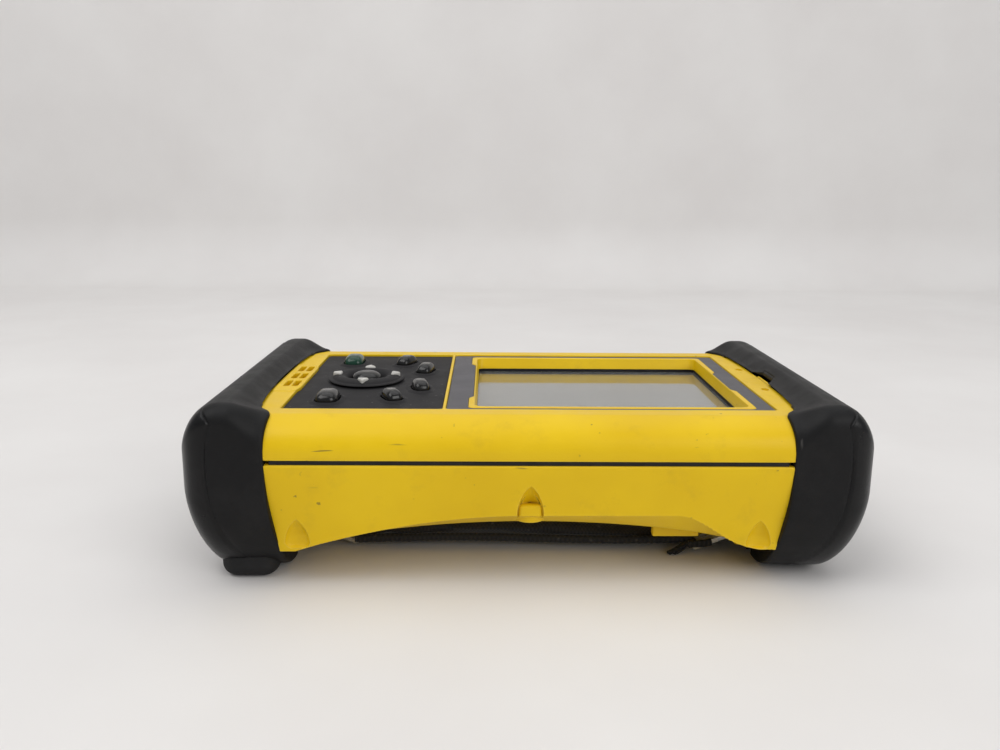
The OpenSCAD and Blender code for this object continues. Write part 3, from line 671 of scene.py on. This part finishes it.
def front_openings():
    """Screen, inner hollow, key holes, ring bore, grille slots and dimples, as cutters."""
    cuts = [
        screen_cutter(),
        block(-57.6, 57.6, -40, 40, 30, 38),
        block(-57.6, 57.6, -44.1, 44.1, 30, 35.4),
        block(-61.4, 61.4, -40.6, 40.6, 30, 36.2),
        block(VIEW_X[0] - 1, VIEW_X[1] + 1, -VIEW_HW - 1, VIEW_HW + 1, 30, SLOPE_Z - 0.3),
    ]
    for key in KEYS.values():
        cuts.append(router(key_outline(*key, grow=KEY_GAP + 0.3), 30, RECESS_Z + 1, 0.01))
    cuts.append(rod((*RING_AT, 30), (*RING_AT, 43), 7.5, steps=64))
    slot_hl, slot_hw = 0.82, 3.5
    for x in (-63.75, -61.45):
        for y in (-7.9, 1.6, 11.1):
            slot = box_outline(x - slot_hl, x + slot_hl, y - slot_hw, y + slot_hw, 0.78)
            cuts.append(router(slot, RIM_Z - 4.4, RIM_Z + 0.22, 0.22))
    for y in (-12.1, 13.7):
        cuts.append(dimple((64.3, y, RIM_Z + 0.2), (1.05, 1.6, 2.0)))
    return cuts


def case_front():
    shell = prism_x(front_section(), 66.6, -66.6)
    combine(shell, beyond(1) + beyond(-1))
    plug = block(-PLUG_X, PLUG_X, -PLUG_HW, PLUG_HW, SEAM[1], PLUG_Z[1])
    tab = boss("tab", grille_outline(), RIM_Z - 1.6, RIM_Z + 0.22, 0.25)
    bar = boss("bar", box_outline(65.0, 67.7, -6.4, 4.4, 0.6), 37.5, 39.6, 0.2)
    rail = boss("rail", box_outline(66.95, 67.7, -6.4, 4.4, 0.34), 37.6, RIM_Z + 0.05, 0.2)
    combine(shell, [plug, tab, bar, rail], "UNION")
    combine(shell, front_recesses())
    combine(shell, [boss("bezel", bezel_outline(), RECESS_Z - 0.5, BEZEL_Z, 0.3)], "UNION")
    combine(shell, front_openings())
    shell.name = "case_front"
    return shell


def dimple(centre, radii):
    """An ellipsoid cutter."""
    rings = []
    for f in np.linspace(-86, 86, 19):
        c, s = cos(radians(f)), sin(radians(f))
        rings.append(level(arc(centre[0], centre[1], radii[0] * c, radii[1] * c, 0, 345, 23),
                           centre[2] + radii[2] * s))
    return loft("cutter", rings)


def scallop(x, sign, foot, apex, depth):
    """Ogive scoop in the case side that gives a screwdriver room; a corner one closes at its foot."""
    closed = foot < 12
    screw_wall = 2.6
    heights = list(np.linspace(foot, apex, 25))
    if not closed:
        heights = [*np.linspace(foot - 5, foot, 4)[:-1], *heights]
    rings = []
    for z in heights:
        t = max(0.0, (z - foot) / (apex - foot))
        half = max(0.03, 3.2 * (1 - t * t) ** 0.74)
        reach = depth * (1 - t ** 1.7) ** 0.9
        wall = float(case_wall(z))
        if closed:
            reach = min(reach, wall - SCREW_Y - screw_wall, 0.1 + 1.6 * (z - foot))
            half *= 0.72 + 0.28 * float(smooth((z - foot) / 1.6))
        rings.append(level(arc(x, sign * (wall + 0.35), half, max(0.03, reach) + 0.35, 0, 345, 23), z))
    return loft("cutter", rings)


def back_hollow():
    """Inner hollow and the two card slots, as cutters."""
    cuts = [
        block(-57.6, 57.6, -40, 40, 17.2, 34),
        block(-57.6, 57.6, -44.1, 44.1, 20.6, 34),
        block(-61.4, 61.4, -40.6, 40.6, 17.21, 34),
    ]
    for z in (20.8, 27.0):
        cuts.append(block(58, 66, -22, 22, z, z + 3.7))
    return cuts


def back_posts():
    """Screw posts inside, hook lugs and two short rails underneath."""
    made = []
    for x in SCREW_X:
        for s in (-1, 1):
            made.append(rod((x, s * SCREW_Y, 16), (x, s * SCREW_Y, SEAM[0] - 0.02), 3.9, steps=40))
    for sx in (-1, 1):
        for sy in (-1, 1):
            lug = box_outline(sx * 55.2 - 1.7, sx * 55.2 + 1.7, sy * 28.4 - 1.6, sy * 28.4 + 1.6, 0.8)
            made.append(boss_down(lug, 4.4, 12.5, 0.9))
    for s in (-1, 1):
        rail = box_outline(31.4, 43.0, s * 33.6 - 1.2, s * 33.6 + 1.2, 0.5)
        made.append(boss_down(rail, 8.8, 15.5, 0.3))
    return made


def screw_scoop(x, sign):
    """The scoop at one case screw; a middle one keeps a small ledge under the screw."""
    if abs(x) > 10:
        return scallop(x, sign, 9.3, 17.0, 1.9)
    scoop = scallop(x, sign, 18.0, 25.7, 3.2)
    ledge = box_outline(-2.5, 3.1, sign * 43.4 - 1.4, sign * 43.4 + 0.9, 0.85)
    return combine(scoop, [boss("ledge", ledge, 10.0, 20.6, 0.8)])


def screw_hole(x, sign):
    head_z = 24.0 if abs(x) < 10 else 19.0
    return rod((x, sign * SCREW_Y, 4), (x, sign * SCREW_Y, head_z), 2.4)


def case_back():
    shell = ruled_shell(back_section())
    combine(shell, [block(-PLUG_X, PLUG_X, -PLUG_HW, PLUG_HW, PLUG_Z[0], SEAM[0])], "UNION")
    combine(shell, [under_back()])
    combine(shell, back_hollow())
    combine(shell, back_posts(), "UNION")
    screws = [(x, s) for x in SCREW_X for s in (-1, 1)]
    combine(shell, [screw_scoop(*at) for at in screws])
    combine(shell, [screw_hole(*at) for at in screws])
    shell.name = "case_back"
    return shell


def round_underside(loop, low, fillet, steps):
    """Rings from a flat underside out to the full loop, round its lower edge."""
    rings = []
    for k in range(steps + 1):
        t = pi / 2 * k / steps
        rings.append(level(grown(loop, -fillet * (1 - sin(t))), low + fillet * (1 - cos(t))))
    return rings


def boss_down(loop, low, top, fillet):
    """A form with its rounded edge underneath."""
    return loft("boss", [*round_underside(loop, low, fillet, 5), level(loop, top)])


# ---- boots
def boot_section(hw, low, high, grow, under=20.0):
    """Boot outline in YZ. grow runs from 0, flush on the case, to 1, at full height."""
    flush_hw = hw - 0.6 * (1 - grow)
    cy = 38.8 + (hw - 4.6 - 38.8) * grow
    cz = 34.8 + (high - 4.6 - 34.8) * grow
    rise = BODY_H - high
    top = RIM_Z + 0.75 - rise + (high - RIM_Z - 0.75 + rise) * grow
    bottom = arc(flush_hw - under, low + under, under, under, -90, 0, 22)
    floor_y = np.linspace(0, flush_hw - under, 14)[1:-1]
    wall_z = np.linspace(low + under, cz, 12)[1:-1]
    shoulder = arc(cy, cz, flush_hw - cy, top - cz, 0, 90, 26)
    top_y = np.linspace(cy, 0, 26)[1:-1]
    half = np.vstack([np.column_stack([floor_y, np.full(12, low)]), bottom,
                      np.column_stack([np.full(10, flush_hw), wall_z]), shoulder,
                      np.column_stack([top_y, np.full(24, top)])])
    return mirrored(half)


def inner_edge(section):
    """Where a boot of this section starts along X."""
    y, z = section[:, 0], section[:, 1]
    return np.where((np.abs(y) < EAR_Y) & (z > 35), edge_top(y), edge_side(z))


def roll_to_core(section, u):
    """The boot outline at a share u of the way round its end: square in plan, round in side view."""
    core = np.clip(section[:, 0], -CORE_HW, CORE_HW)
    y = core + (section[:, 0] - core) * (1 - u ** 3) ** (1 / 3)
    return np.column_stack([y, CORE_Z + (section[:, 1] - CORE_Z) * sqrt(1 - u * u)])


def groove_x(points):
    """Path of the shallow parting groove round a boot."""
    z = points[:, 2]
    side = 75.2 - 0.0125 * (np.clip(z, 4, 44) - 30) ** 2
    return np.where(z > 40.5, 73.5 + 2.6 * smooth((z - 40.5) / 4.2), side)


def boot_rings():
    """Rings of a boot's surface along +X, from its inner face to its end."""
    flush = boot_section(BODY_W / 2, 0, BODY_H, 0)
    full = boot_section(BODY_W / 2, 0, BODY_H, 1)
    edge = inner_edge(flush)
    middle = np.array([0, CORE_Z - 3.5])
    rings = [np.column_stack([edge, middle + (flush - middle) * [0.88, 0.55]])]
    for d in (0, 0.12, 0.3, 0.6, *np.arange(1.0, 8.0, 0.25)):
        grow = smooth(d / 6.5)
        lip = 0.35 * (1 - sqrt(1 - (1 - min(d, 0.6) / 0.6) ** 2))
        section = flush + (full - flush) * grow
        section = middle + (section - middle) * (1 - lip / 30)
        rings.append(np.column_stack([edge + d * (ROLL_X - edge) / 8, section]))
    for u in (*np.arange(0, 0.5, 0.018), *np.sin(np.radians(np.linspace(30, 88.5, 36)))):
        rings.append(at_x(roll_to_core(full, u), ROLL_X + (END_X - ROLL_X) * u))
    return rings


def grooved(ring):
    """The ring with the shallow parting groove pressed into it."""
    d = np.abs(ring[:, 0] - groove_x(ring))
    dip = 0.5 * np.exp(-(d / 0.26) ** 2) + 0.12 * smooth((groove_x(ring) - ring[:, 0]) / 0.5)
    dip *= smooth((ring[:, 0] - 64) / 6)
    centre = np.column_stack([np.full(len(ring), 66.0), np.clip(ring[:, 1], -CORE_HW, CORE_HW),
                              np.full(len(ring), CORE_Z)])
    return ring - unit_rows(ring - centre) * dip[:, None]


def boot_hollow():
    """The space inside a boot beyond the end of the case."""
    section = boot_section(BODY_W / 2 - 2.9, 2.9, BODY_H - 3.0, 1)
    rings = [at_x(section, x) for x in (64.8, ROLL_X)]
    for u in np.sin(np.radians(np.linspace(8, 86, 14))):
        rings.append(at_x(roll_to_core(section, u), ROLL_X + (END_X - ROLL_X - 3.0) * u))
    return rings


def boot_part(name, rings, sign):
    rings = [r * [sign, 1, 1] for r in rings]
    return loft(name, rings if sign > 0 else rings[::-1])


def boot(name, sign):
    """One end boot with the socket for the case's plug."""
    shell = boot_part(name, [grooved(r) for r in boot_rings()], sign)
    return combine(shell, [plug_socket(sign), boot_part("cutter", boot_hollow(), sign)])


def tag_outboard(obj):
    """Marks the glossier skin beyond the groove, for the material."""
    points = coordinates(obj.data) / MM
    points[:, 0] = np.abs(points[:, 0])
    value = smooth((points[:, 0] - groove_x(points) + 0.3) / 0.6)
    attribute = obj.data.attributes.new("outboard", "FLOAT", "POINT")
    attribute.data.foreach_set("value", value.astype(np.float32))
    return obj


def plug_socket(sign):
    x0, x1 = sorted((sign * 50, sign * 65.2))
    hw = PLUG_HW + 0.3
    return block(x0, x1, -hw, hw, PLUG_Z[0] - 0.3, 38.58)


def boot_screw_cuts(sign):
    cuts = []
    for s in (-1, 1):
        at = (sign * 61.2, s * 24)
        cuts.append(rod((*at, -2), (*at, 11), 1.5))
        cuts.append(rod((*at, -2), (*at, 4.3), 2.7))
    return cuts


def battery_boot():
    shell = boot("battery_boot_skin", -1)
    wall = block(-BAY_X, -BAY_X + 2, BAY_Y[0] - 1.4, 43.5, 6, 39.5)
    rib = block(-78, -66, BAY_Y[0] - 1.4, BAY_Y[0], 5, 40.5)
    combine(shell, [wall, rib], "UNION")
    bay = box_outline(BAY_Y[0], BAY_Y[1], BAY_Z[0], BAY_Z[1], 2.2)
    rings = []
    for x, g in ((-BAY_X, 0), (-79.2, 0), (-80.0, 0.25), (-80.8, 0.9), (-83, 1.1), (-90, 1.1)):
        rings.append(at_x(grown(bay, g), x)[::-1])
    combine(shell, [loft("cutter", rings)] + boot_screw_cuts(-1))
    combine(shell, [
        port_cut(d_outline(0.5), *SERIAL_AT),
        port_cut(box_outline(-4.3, 4.3, -2.4, 2.4, 0.5), *USB_AT),
        port_cut(arc(0, 0, 4.4, 4.4, 0, 350, 35), *POWER_AT),
    ])
    return tag_outboard(shell)


def port_cut(loop, y, z):
    return loft("cutter", [at_x(loop + [y, z], x)[::-1] for x in (-71, -75)])


def d_outline(grow):
    """D-shaped outline of the serial plug in YZ."""
    return grown(rounded([(-8.3, -4.1), (8.3, -4.1), (7, 4.1), (-7, 4.1)], 1.6), grow)


def card_cap():
    shell = boot("card_cap_skin", 1)
    relief = rounded([(63.5, -7.4), (66.9, -7.4), (68.2, -6.1), (68.2, 2.6), (66.7, 7.4), (63.5, 7.4)], 0.7)
    combine(shell, [router(relief, 38.6, 43.2, 0.5)] + boot_screw_cuts(1))
    return tag_outboard(shell)


def foot(side):
    """Rounded corner block under the battery boot; its top follows the boot's underside."""
    loop = box_outline(-74.8, -60.9, side * 35.3 - 6.1, side * 35.3 + 6.1, 3.9, 8)
    rings = round_underside(loop, 0.15, 3.2, 7)
    out = np.clip(np.abs(loop[:, 1]) - 27.5, 0, 19)
    under = 20 - np.sqrt(400 - out ** 2)
    end = 0.02 * np.clip(np.abs(loop[:, 0]) - 70, 0, 9) ** 2.6
    rings.append(np.column_stack([loop, np.maximum(3.5, under + end + 1.2)]))
    return loft("foot", rings)


# ---- keypad
def key_outline(x, y, l, w, turn, grow=0.0):
    """Barrel-sided outline of a key, with rounded corners."""
    loop = signed_power(circle(6), 2 / 3.4) * [l / 2, w / 2]
    return grown(placed(loop, x, y, turn), grow)


def key_cap(name, x, y, l, w, turn):
    """A domed key: flange under the case, straight waist, glossy dome."""
    outline = key_outline(x, y, l, w, turn)
    rings = [level(grown(outline, 0.9), 37.1), level(grown(outline, 0.9), 37.7),
             level(outline, 37.8), level(outline, 41.2)]
    middle = np.array([x, y])
    for f in np.linspace(5, 87, 19):
        a = radians(f)
        rings.append(level(middle + (outline - middle) * cos(a) ** 0.62, 41.2 + 2.3 * sin(a)))
    return soften(loft(name, rings), 50)


def key_mark(x, y, turn):
    """Worn pale dash moulded into the top of a key."""
    dash = box_outline(-0.28, 0.28, -1.15, 1.15, 0.27)
    return boss("mark", placed(dash, x, y, turn), 43.0, 43.53, 0.1)


def skirt(loop, rise, spread):
    """The low soft rim the membrane has round a key."""
    rings = []
    for k in range(9):
        t = k / 8
        rings.append(level(grown(loop, 0.32 + spread * t), OVERLAY_Z + rise * (1 - smooth(t)) ** 1.2))
    rings[-1][:, 2] = OVERLAY_Z - 0.3
    rings.insert(0, level(grown(loop, 0.32), OVERLAY_Z - 0.3))
    return loft("skirt", rings, closed=True)


def keypad_membrane():
    loop = box_outline(KEYPAD_X[0] + 0.12, KEYPAD_X[1] - 0.12, -PANEL_HW + 0.12, PANEL_HW - 0.12, 0.8)
    sheet = boss("keypad_membrane_sheet", loop, RECESS_Z + 0.01, OVERLAY_Z, 0.12)
    skirts, cuts = [], []
    for key in KEYS.values():
        skirts.append(skirt(key_outline(*key), 0.42, 1.5))
        cuts.append(router(key_outline(*key, grow=KEY_GAP), 38, 44, 0.01))
    combine(sheet, skirts, "UNION")
    cuts.append(rod((*RING_AT, 38), (*RING_AT, 43), 7.6, steps=64))
    return combine(sheet, [*cuts, tab_space(0.1)])


def screen_overlay():
    loop = box_outline(SCREEN_X[0] + 0.12, SCREEN_X[1] - 0.12, -PANEL_HW + 0.12, PANEL_HW - 0.12, 1.1)
    sheet = boss("screen_overlay_sheet", loop, RECESS_Z + 0.01, SCREEN_SHEET_Z, 0.1)
    hole = router(grown(bezel_outline(), 0.08), 39, SCREEN_SHEET_Z, 0.06)
    return combine(sheet, [hole])


def ring_surface():
    """Direction ring: soft outer roll, saddle at the marks, deep inner wall."""
    profile = [(5.0, 38.3), (5.0, 40.3), (5.1, 41.0), (5.5, 41.8), (6.2, 42.35), (7.1, 42.62), (8.0, 42.6),
               (8.7, 42.4), (9.15, 42.1), (9.3, 41.85), (9.6, 41.75), (10.1, 41.7), (10.35, 41.55),
               (10.4, 41.42), (10.2, 41.32), (7.2, 41.32), (6.9, 41.1), (6.9, 38.3)]
    rings = []
    for r, z in profile:
        widen = 1.0 + 0.10 * smooth((r - 6.9) / 3)
        rings.append(level(circle(4) * [r, r * widen] + RING_AT, z))
    return soften(loft("direction_ring_cap", rings[::-1], closed=True), 50)


def arrow_mark(angle):
    """Raised pale arrow on the direction ring."""
    reach = 8.1 if angle % 180 == 0 else 8.8
    tri = rounded([(-1.25, -1.85), (1.55, 0), (-1.25, 1.85)], 0.45, 5)
    return boss("arrow", placed(tri + [reach, 0], *RING_AT, angle), 41.8, 43.2, 0.5, 6)


def enter_dome():
    profile = [(0.8, 37.1), (0.8, 39.3), (3.5, 39.35), (3.6, 41.0), (4.1, 41.3)]
    profile += [(4.1 * cos(radians(f)) ** 0.8, 41.3 + 2.15 * sin(radians(f)))
                for f in range(8, 88, 8)]
    rings = [level(circle(6) * r + RING_AT, z) for r, z in profile]
    return soften(loft("enter_key_dome", rings), 50)


# ---- strap
def sheet_between(name, xs, low, high, half_width, edge_round):
    """A soft slab along X whose long edges are rounded; low and high give its heights."""
    rings = []
    for x in xs:
        z0, z1, hw = low(x), high(x), half_width(x)
        mid, half = (z0 + z1) / 2, (z1 - z0) / 2
        loop = signed_power(circle(7.5), [edge_round * half / hw, 0.75])
        rings.append(at_x(loop * [hw, half] + [0, mid], x))
    return loft(name, rings[::-1])


def strap_low(x):
    """Height of the strap's underside above the table."""
    return 1.75 + 0.55 * sin((x + 40) / 11.5) * exp(-((x + 25) / 38) ** 2) + 0.25 * cos(x / 9)


def strap_pad():
    xs = np.linspace(-44, 44, 89)

    def top(x):
        return strap_low(x) + 2.0 + 3.6 * max(0.0, cos((x + 1) / 25.8)) ** 0.8

    pad = sheet_between("strap_pad_soft", xs, lambda x: strap_low(x) + 0.9, top, lambda x: PAD_HW, 5.0)
    swell(pad)
    return pad


def swell(obj):
    """Puffs the pad with a short cloth simulation, then keeps the result as its mesh."""
    voxel, steps, limit = 0.0014, 15, 0.0007
    remesh = obj.modifiers.new("remesh", "REMESH")
    remesh.mode, remesh.voxel_size = "VOXEL", voxel
    bpy.context.view_layer.update()
    mesh = evaluated_mesh(obj)
    obj.modifiers.clear()
    obj.data = mesh
    start = coordinates(mesh)
    settings = obj.modifiers.new("cloth", "CLOTH").settings
    settings.quality = 5
    settings.mass = 0.15
    settings.use_pressure = True
    settings.uniform_pressure_force = 3.0
    settings.effector_weights.gravity = 0
    scene = bpy.context.scene
    for number in range(1, steps + 1):
        scene.frame_set(number)
    result = evaluated_mesh(obj)
    obj.modifiers.clear()
    obj.data = result
    scene.frame_set(1)
    shift = coordinates(result) - start
    length = np.linalg.norm(shift, axis=1, keepdims=True)
    shift *= np.minimum(1.0, limit / np.maximum(length, 1e-9))
    result.vertices.foreach_set("co", (start + shift).ravel())
    obj.modifiers.new("smooth", "SMOOTH").iterations = 3
    obj.modifiers.new("subdivide", "SUBSURF").levels = 1


def strap_loop(sign):
    """The webbing's end, turned round a hook's bar and laid back on itself."""
    path = np.array([(40.6, 1.85), (42.8, 1.15), (44.3, 0.38), (45.6, 0.52), (46.7, 0.95), (47.0, 1.9),
                     (46.4, 2.75), (45.6, 2.92), (44.2, 2.85), (42.6, 2.5), (40.6, 2.2)]) * [sign, 1]
    for _ in range(2):
        near = path[:-1] * 0.75 + path[1:] * 0.25
        far = path[:-1] * 0.25 + path[1:] * 0.75
        path = np.vstack([path[:1], np.stack([near, far], 1).reshape(-1, 2), path[-1:]])
    corner = box_outline(-WEB_HW, WEB_HW, -0.24, 0.24, 0.2, 3)
    rings = []
    for p, ahead in zip(path, np.gradient(path, axis=0)):
        ahead = ahead / np.linalg.norm(ahead)
        y, out = corner[:, 0], corner[:, 1]
        rings.append(np.column_stack([p[0] - ahead[1] * out, y, p[1] + ahead[0] * out]))
    return loft("loop", rings)


def strap_webbing():
    xs = np.linspace(-41.2, 41.2, 84)
    band = sheet_between("band", xs, lambda x: strap_low(x) - 0.35, lambda x: strap_low(x) + 0.85,
                         lambda x: WEB_HW, 3.0)
    return joined("strap_webbing_band", [band, strap_loop(1), strap_loop(-1)])


def binding(sign):
    """Ribbed tape folded round one long edge of the pad."""
    rings = []
    for x in np.arange(-44.6, 44.81, 0.4):
        rib = 0.03 * cos(x * pi / 0.8)
        middle = [sign * 22.9, strap_low(x) + 1.55]
        rings.append(at_x(circle(20) * [0.85 + rib, 1.05 + rib] + middle, x))
    return loft("binding", rings[::-1])


def stitch_row(y, x0, x1, z_of, pitch=1.7):
    """A row of short sewn threads."""
    made = []
    for x in np.arange(x0, x1, pitch):
        a = np.array([x, y, z_of(x)])
        b = np.array([x + pitch * 0.62, y, z_of(x + pitch * 0.62)])
        made.append(thread(a, b, 0.16))
    return made


def thread(a, b, r):
    mid = (a + b) / 2 + [0, 0, 0.05]
    rings = []
    for p, k in ((a, 0.4), (a * 0.75 + mid * 0.25, 0.9), (mid, 1.0), (b * 0.75 + mid * 0.25, 0.9), (b, 0.4)):
        rings.append(at_x(circle(45) * (r * k) + p[1:], p[0]))
    return loft("thread", rings[::-1])


def joined(name, parts):
    """Several meshes as one object."""
    points, faces, base = [], [], 0
    for p in parts:
        points.append(coordinates(p.data) / MM)
        faces += [tuple(v + base for v in f.vertices) for f in p.data.polygons]
        base += len(p.data.vertices)
        bpy.data.objects.remove(p)
    return piece(name, np.vstack(points), faces)


def bar_between(name, path, width, thick):
    """A flat band swept along a path of (x, y, z) points, width across the path."""
    path = np.array(path, float)
    rings = []
    for i, p in enumerate(path):
        ahead = path[min(i + 1, len(path) - 1)] - path[max(i - 1, 0)]
        ahead /= np.linalg.norm(ahead)
        across = np.cross([0, 0, 1.0], ahead)
        across /= np.linalg.norm(across)
        up = np.cross(ahead, across)
        w, h = width / 2, thick / 2
        corner = box_outline(-w, w, -h, h, min(w, h) * 0.8, 4)
        rings.append(p + np.outer(corner[:, 0], across) + np.outer(corner[:, 1], up))
    return loft(name, rings)


def strap_tail():
    """Loose cord end that hangs from the strap and forks on the table."""
    a = [(45.0, -23.6, 3.2), (43.4, -24.0, 3.0), (42.2, -24.4, 2.6), (41.0, -24.8, 2.0), (39.7, -25.2, 1.35),
         (38.5, -25.6, 0.85), (37.5, -26.0, 0.6)]
    b = [(42.6, -24.6, 2.3), (41.8, -25.0, 1.7), (40.9, -25.4, 1.2), (39.8, -25.8, 0.75), (38.9, -26.2, 0.6)]
    fold = [(42.9, -25.05, 2.7), (45.6, -25.15, 2.8), (47.2, -25.15, 3.0), (48.9, -25.1, 3.35)]
    bars = ((a, 1.6, 0.7), (b, 1.2, 0.6), (fold, 1.0, 1.9))
    return joined("strap_tail_cord", [bar_between("bar", *bar) for bar in bars])


# ---- assembly
def build_shells():
    dress(soften(case_front()), YELLOW, "case", "yellow_case", "front_case")
    dress(soften(case_back()), YELLOW, "case", "yellow_case", "back_case")
    dress(soften(battery_boot()), RUBBER, "battery_end", "boot_rubber", "battery_boot")
    dress(soften(card_cap()), RUBBER, "card_end", "boot_rubber", "card_cap")
    feet = joined("battery_boot_feet", [foot(-1), foot(1)])
    dress(soften(feet, 60), SEAL, "battery_end", "foot_rubber", "boot_feet")


def build_panel():
    dress(soften(keypad_membrane(), 40), MEMBRANE, "case", "black_overlay", "keypad_overlay")
    dress(soften(screen_overlay()), GREY, "case", "grey_overlay", "bezel_overlay")
    for name, key in KEYS.items():
        cap = key_cap(name + "_cap", *key)
        material, slot = (GREEN_KEY, "green_key") if name == "power_key" else (BLACK_KEY, "black_key")
        dress(cap, material, name + "_button", slot, name)
        mark = key_mark(key[0], key[1], key[4] + 90)
        mark.name = name + "_mark"
        dress(soften(mark), WORN, name + "_button", "pale_mark")
    dress(ring_surface(), MEMBRANE, "ring", "black_key", "direction_ring")
    arrows = joined("arrow_mark_set", [arrow_mark(a) for a in (0, 90, 180, 270)])
    dress(soften(arrows, 60), PALE, "ring", "pale_mark", "arrow_marks")
    dress(enter_dome(), BLACK_KEY, "enter", "black_key", "enter_key")


def build_strap():
    dress(soften(strap_pad(), 60), PAD_CLOTH, "case", "strap", "strap_pad")
    dress(soften(strap_webbing(), 60), WEB_CLOTH, "case", "webbing", "strap_webbing")
    edges = joined("strap_binding", [binding(-1), binding(1)])
    dress(soften(edges, 60), WEB_CLOTH, "case", "strap")
    rows = []
    for s in (-1, 1):
        rows += stitch_row(s * 21.4, -39, 37, lambda x: strap_low(x) + 0.85)
    dress(soften(joined("strap_stitches", rows), 60), THREAD, "case", "strap")
    dress(soften(strap_tail(), 50), WEB_CLOTH, "case", "webbing", "strap_tail")


def dress_cad_nodes():
    """Procedural materials for the CAD nodes, and a fine edge bevel on those that stay on show."""
    slots = {s["node"]: s["material_slot"] for s in frame["record"]["subparts"]}
    for name, obj in NODES.items():
        obj.data.materials.clear()
        obj.data.materials.append(CAD_MATERIALS[slots[name]])
        if not obj.hide_render:
            bevel = obj.modifiers.new("bevel", "BEVEL")
            bevel.width = 0.00012
            bevel.segments = 2
            bevel.limit_method = "ANGLE"
            bevel.angle_limit = radians(40)


def area_light(name, location, target, size, power, color=(1, 1, 1)):
    data = bpy.data.lights.new(name, "AREA")
    data.shape, data.size, data.size_y = "RECTANGLE", size[0], size[1]
    data.energy, data.color = power, color
    obj = add_object(name, data)
    obj.location = location
    direction = Vector(target) - Vector(location)
    obj.rotation_mode = "QUATERNION"
    obj.rotation_quaternion = direction.to_track_quat("-Z", "Y")


def build_stage():
    """Pale floor that curves up into a wall behind the object."""
    wall_y, curve = 620.0, 60.0
    path = [(-900.0, 0.0), (wall_y - curve, 0.0)]
    path += [(wall_y - curve + curve * sin(a), curve - curve * cos(a))
             for a in np.linspace(0, pi / 2, 16)[1:]]
    path.append((wall_y, 900.0))
    points = [(x, y, z) for x in (-1600, 1600) for y, z in path]
    n = len(path)
    faces = [(i, i + n, i + n + 1, i + 1) for i in range(n - 1)]
    floor = piece("floor", points, faces)
    floor.data.shade_smooth()
    s = Shader("floor_paint")
    s.bump(s.noise(900, 3), 0.04, 0.0002)
    tone = s.mix(s.ramp(s.noise(9, 4), 0.3, 0.7), (0.72, 0.70, 0.685), (0.77, 0.755, 0.74))
    floor.data.materials.append(s.finish(tone, 0.75))
    one_sided(s)


def one_sided(s):
    """Clear from behind, so that the object can be seen from below."""
    output = s.tree.nodes["Material Output"]
    clear = s.node("ShaderNodeBsdfTransparent")
    blend = s.node("ShaderNodeMixShader")
    s.link(s.node("ShaderNodeNewGeometry").outputs["Backfacing"], blend.inputs[0])
    s.link(s.bsdf.outputs[0], blend.inputs[1])
    s.link(clear.outputs[0], blend.inputs[2])
    s.link(blend.outputs[0], output.inputs["Surface"])


def build_light():
    area_light("key_light", (-0.55, -0.35, 0.95), (0, 0, 0.02), (0.9, 0.7), 5.6, (1, 0.99, 0.98))
    area_light("fill_light", (0.65, -0.75, 0.55), (0, 0, 0.03), (0.8, 0.6), 4.6, (1, 0.985, 0.97))
    area_light("top_light", (0.1, 0.25, 1.1), (0, 0.1, 0), (1.4, 1.0), 4.8)
    world = bpy.data.worlds.new("studio")
    world.use_nodes = True
    background = world.node_tree.nodes["Background"]
    background.inputs["Color"].default_value = (0.86, 0.88, 0.92, 1)
    background.inputs["Strength"].default_value = 0.34
    scene = bpy.context.scene
    scene.world = world
    scene.view_settings.view_transform = "Standard"


def build_camera():
    """Camera at the photograph's place: 32.3 mm lens, 12 degrees down, level to half a degree."""
    pitch, yaw, roll = radians(12.125), radians(0.838), radians(0.462)
    forward = Vector((sin(yaw) * cos(pitch), cos(yaw) * cos(pitch), -sin(pitch)))
    right = Vector((cos(yaw), -sin(yaw), 0))
    down = forward.cross(right)
    right_rolled = right * cos(roll) - down * sin(roll)
    down_rolled = right * sin(roll) + down * cos(roll)
    data = bpy.data.cameras.new("camera")
    data.lens, data.sensor_width = 32.32, 36.0
    data.clip_start, data.clip_end = 0.01, 20
    camera = add_object("camera", data)
    turn = Matrix((right_rolled, -down_rolled, -forward)).transposed()
    camera.matrix_world = Matrix.Translation((-0.01008, -0.24516, 0.09506)) @ turn.to_4x4()
    bpy.context.scene.camera = camera


build_shells()
build_panel()
build_strap()
dress_cad_nodes()
build_stage()
build_light()
build_camera()
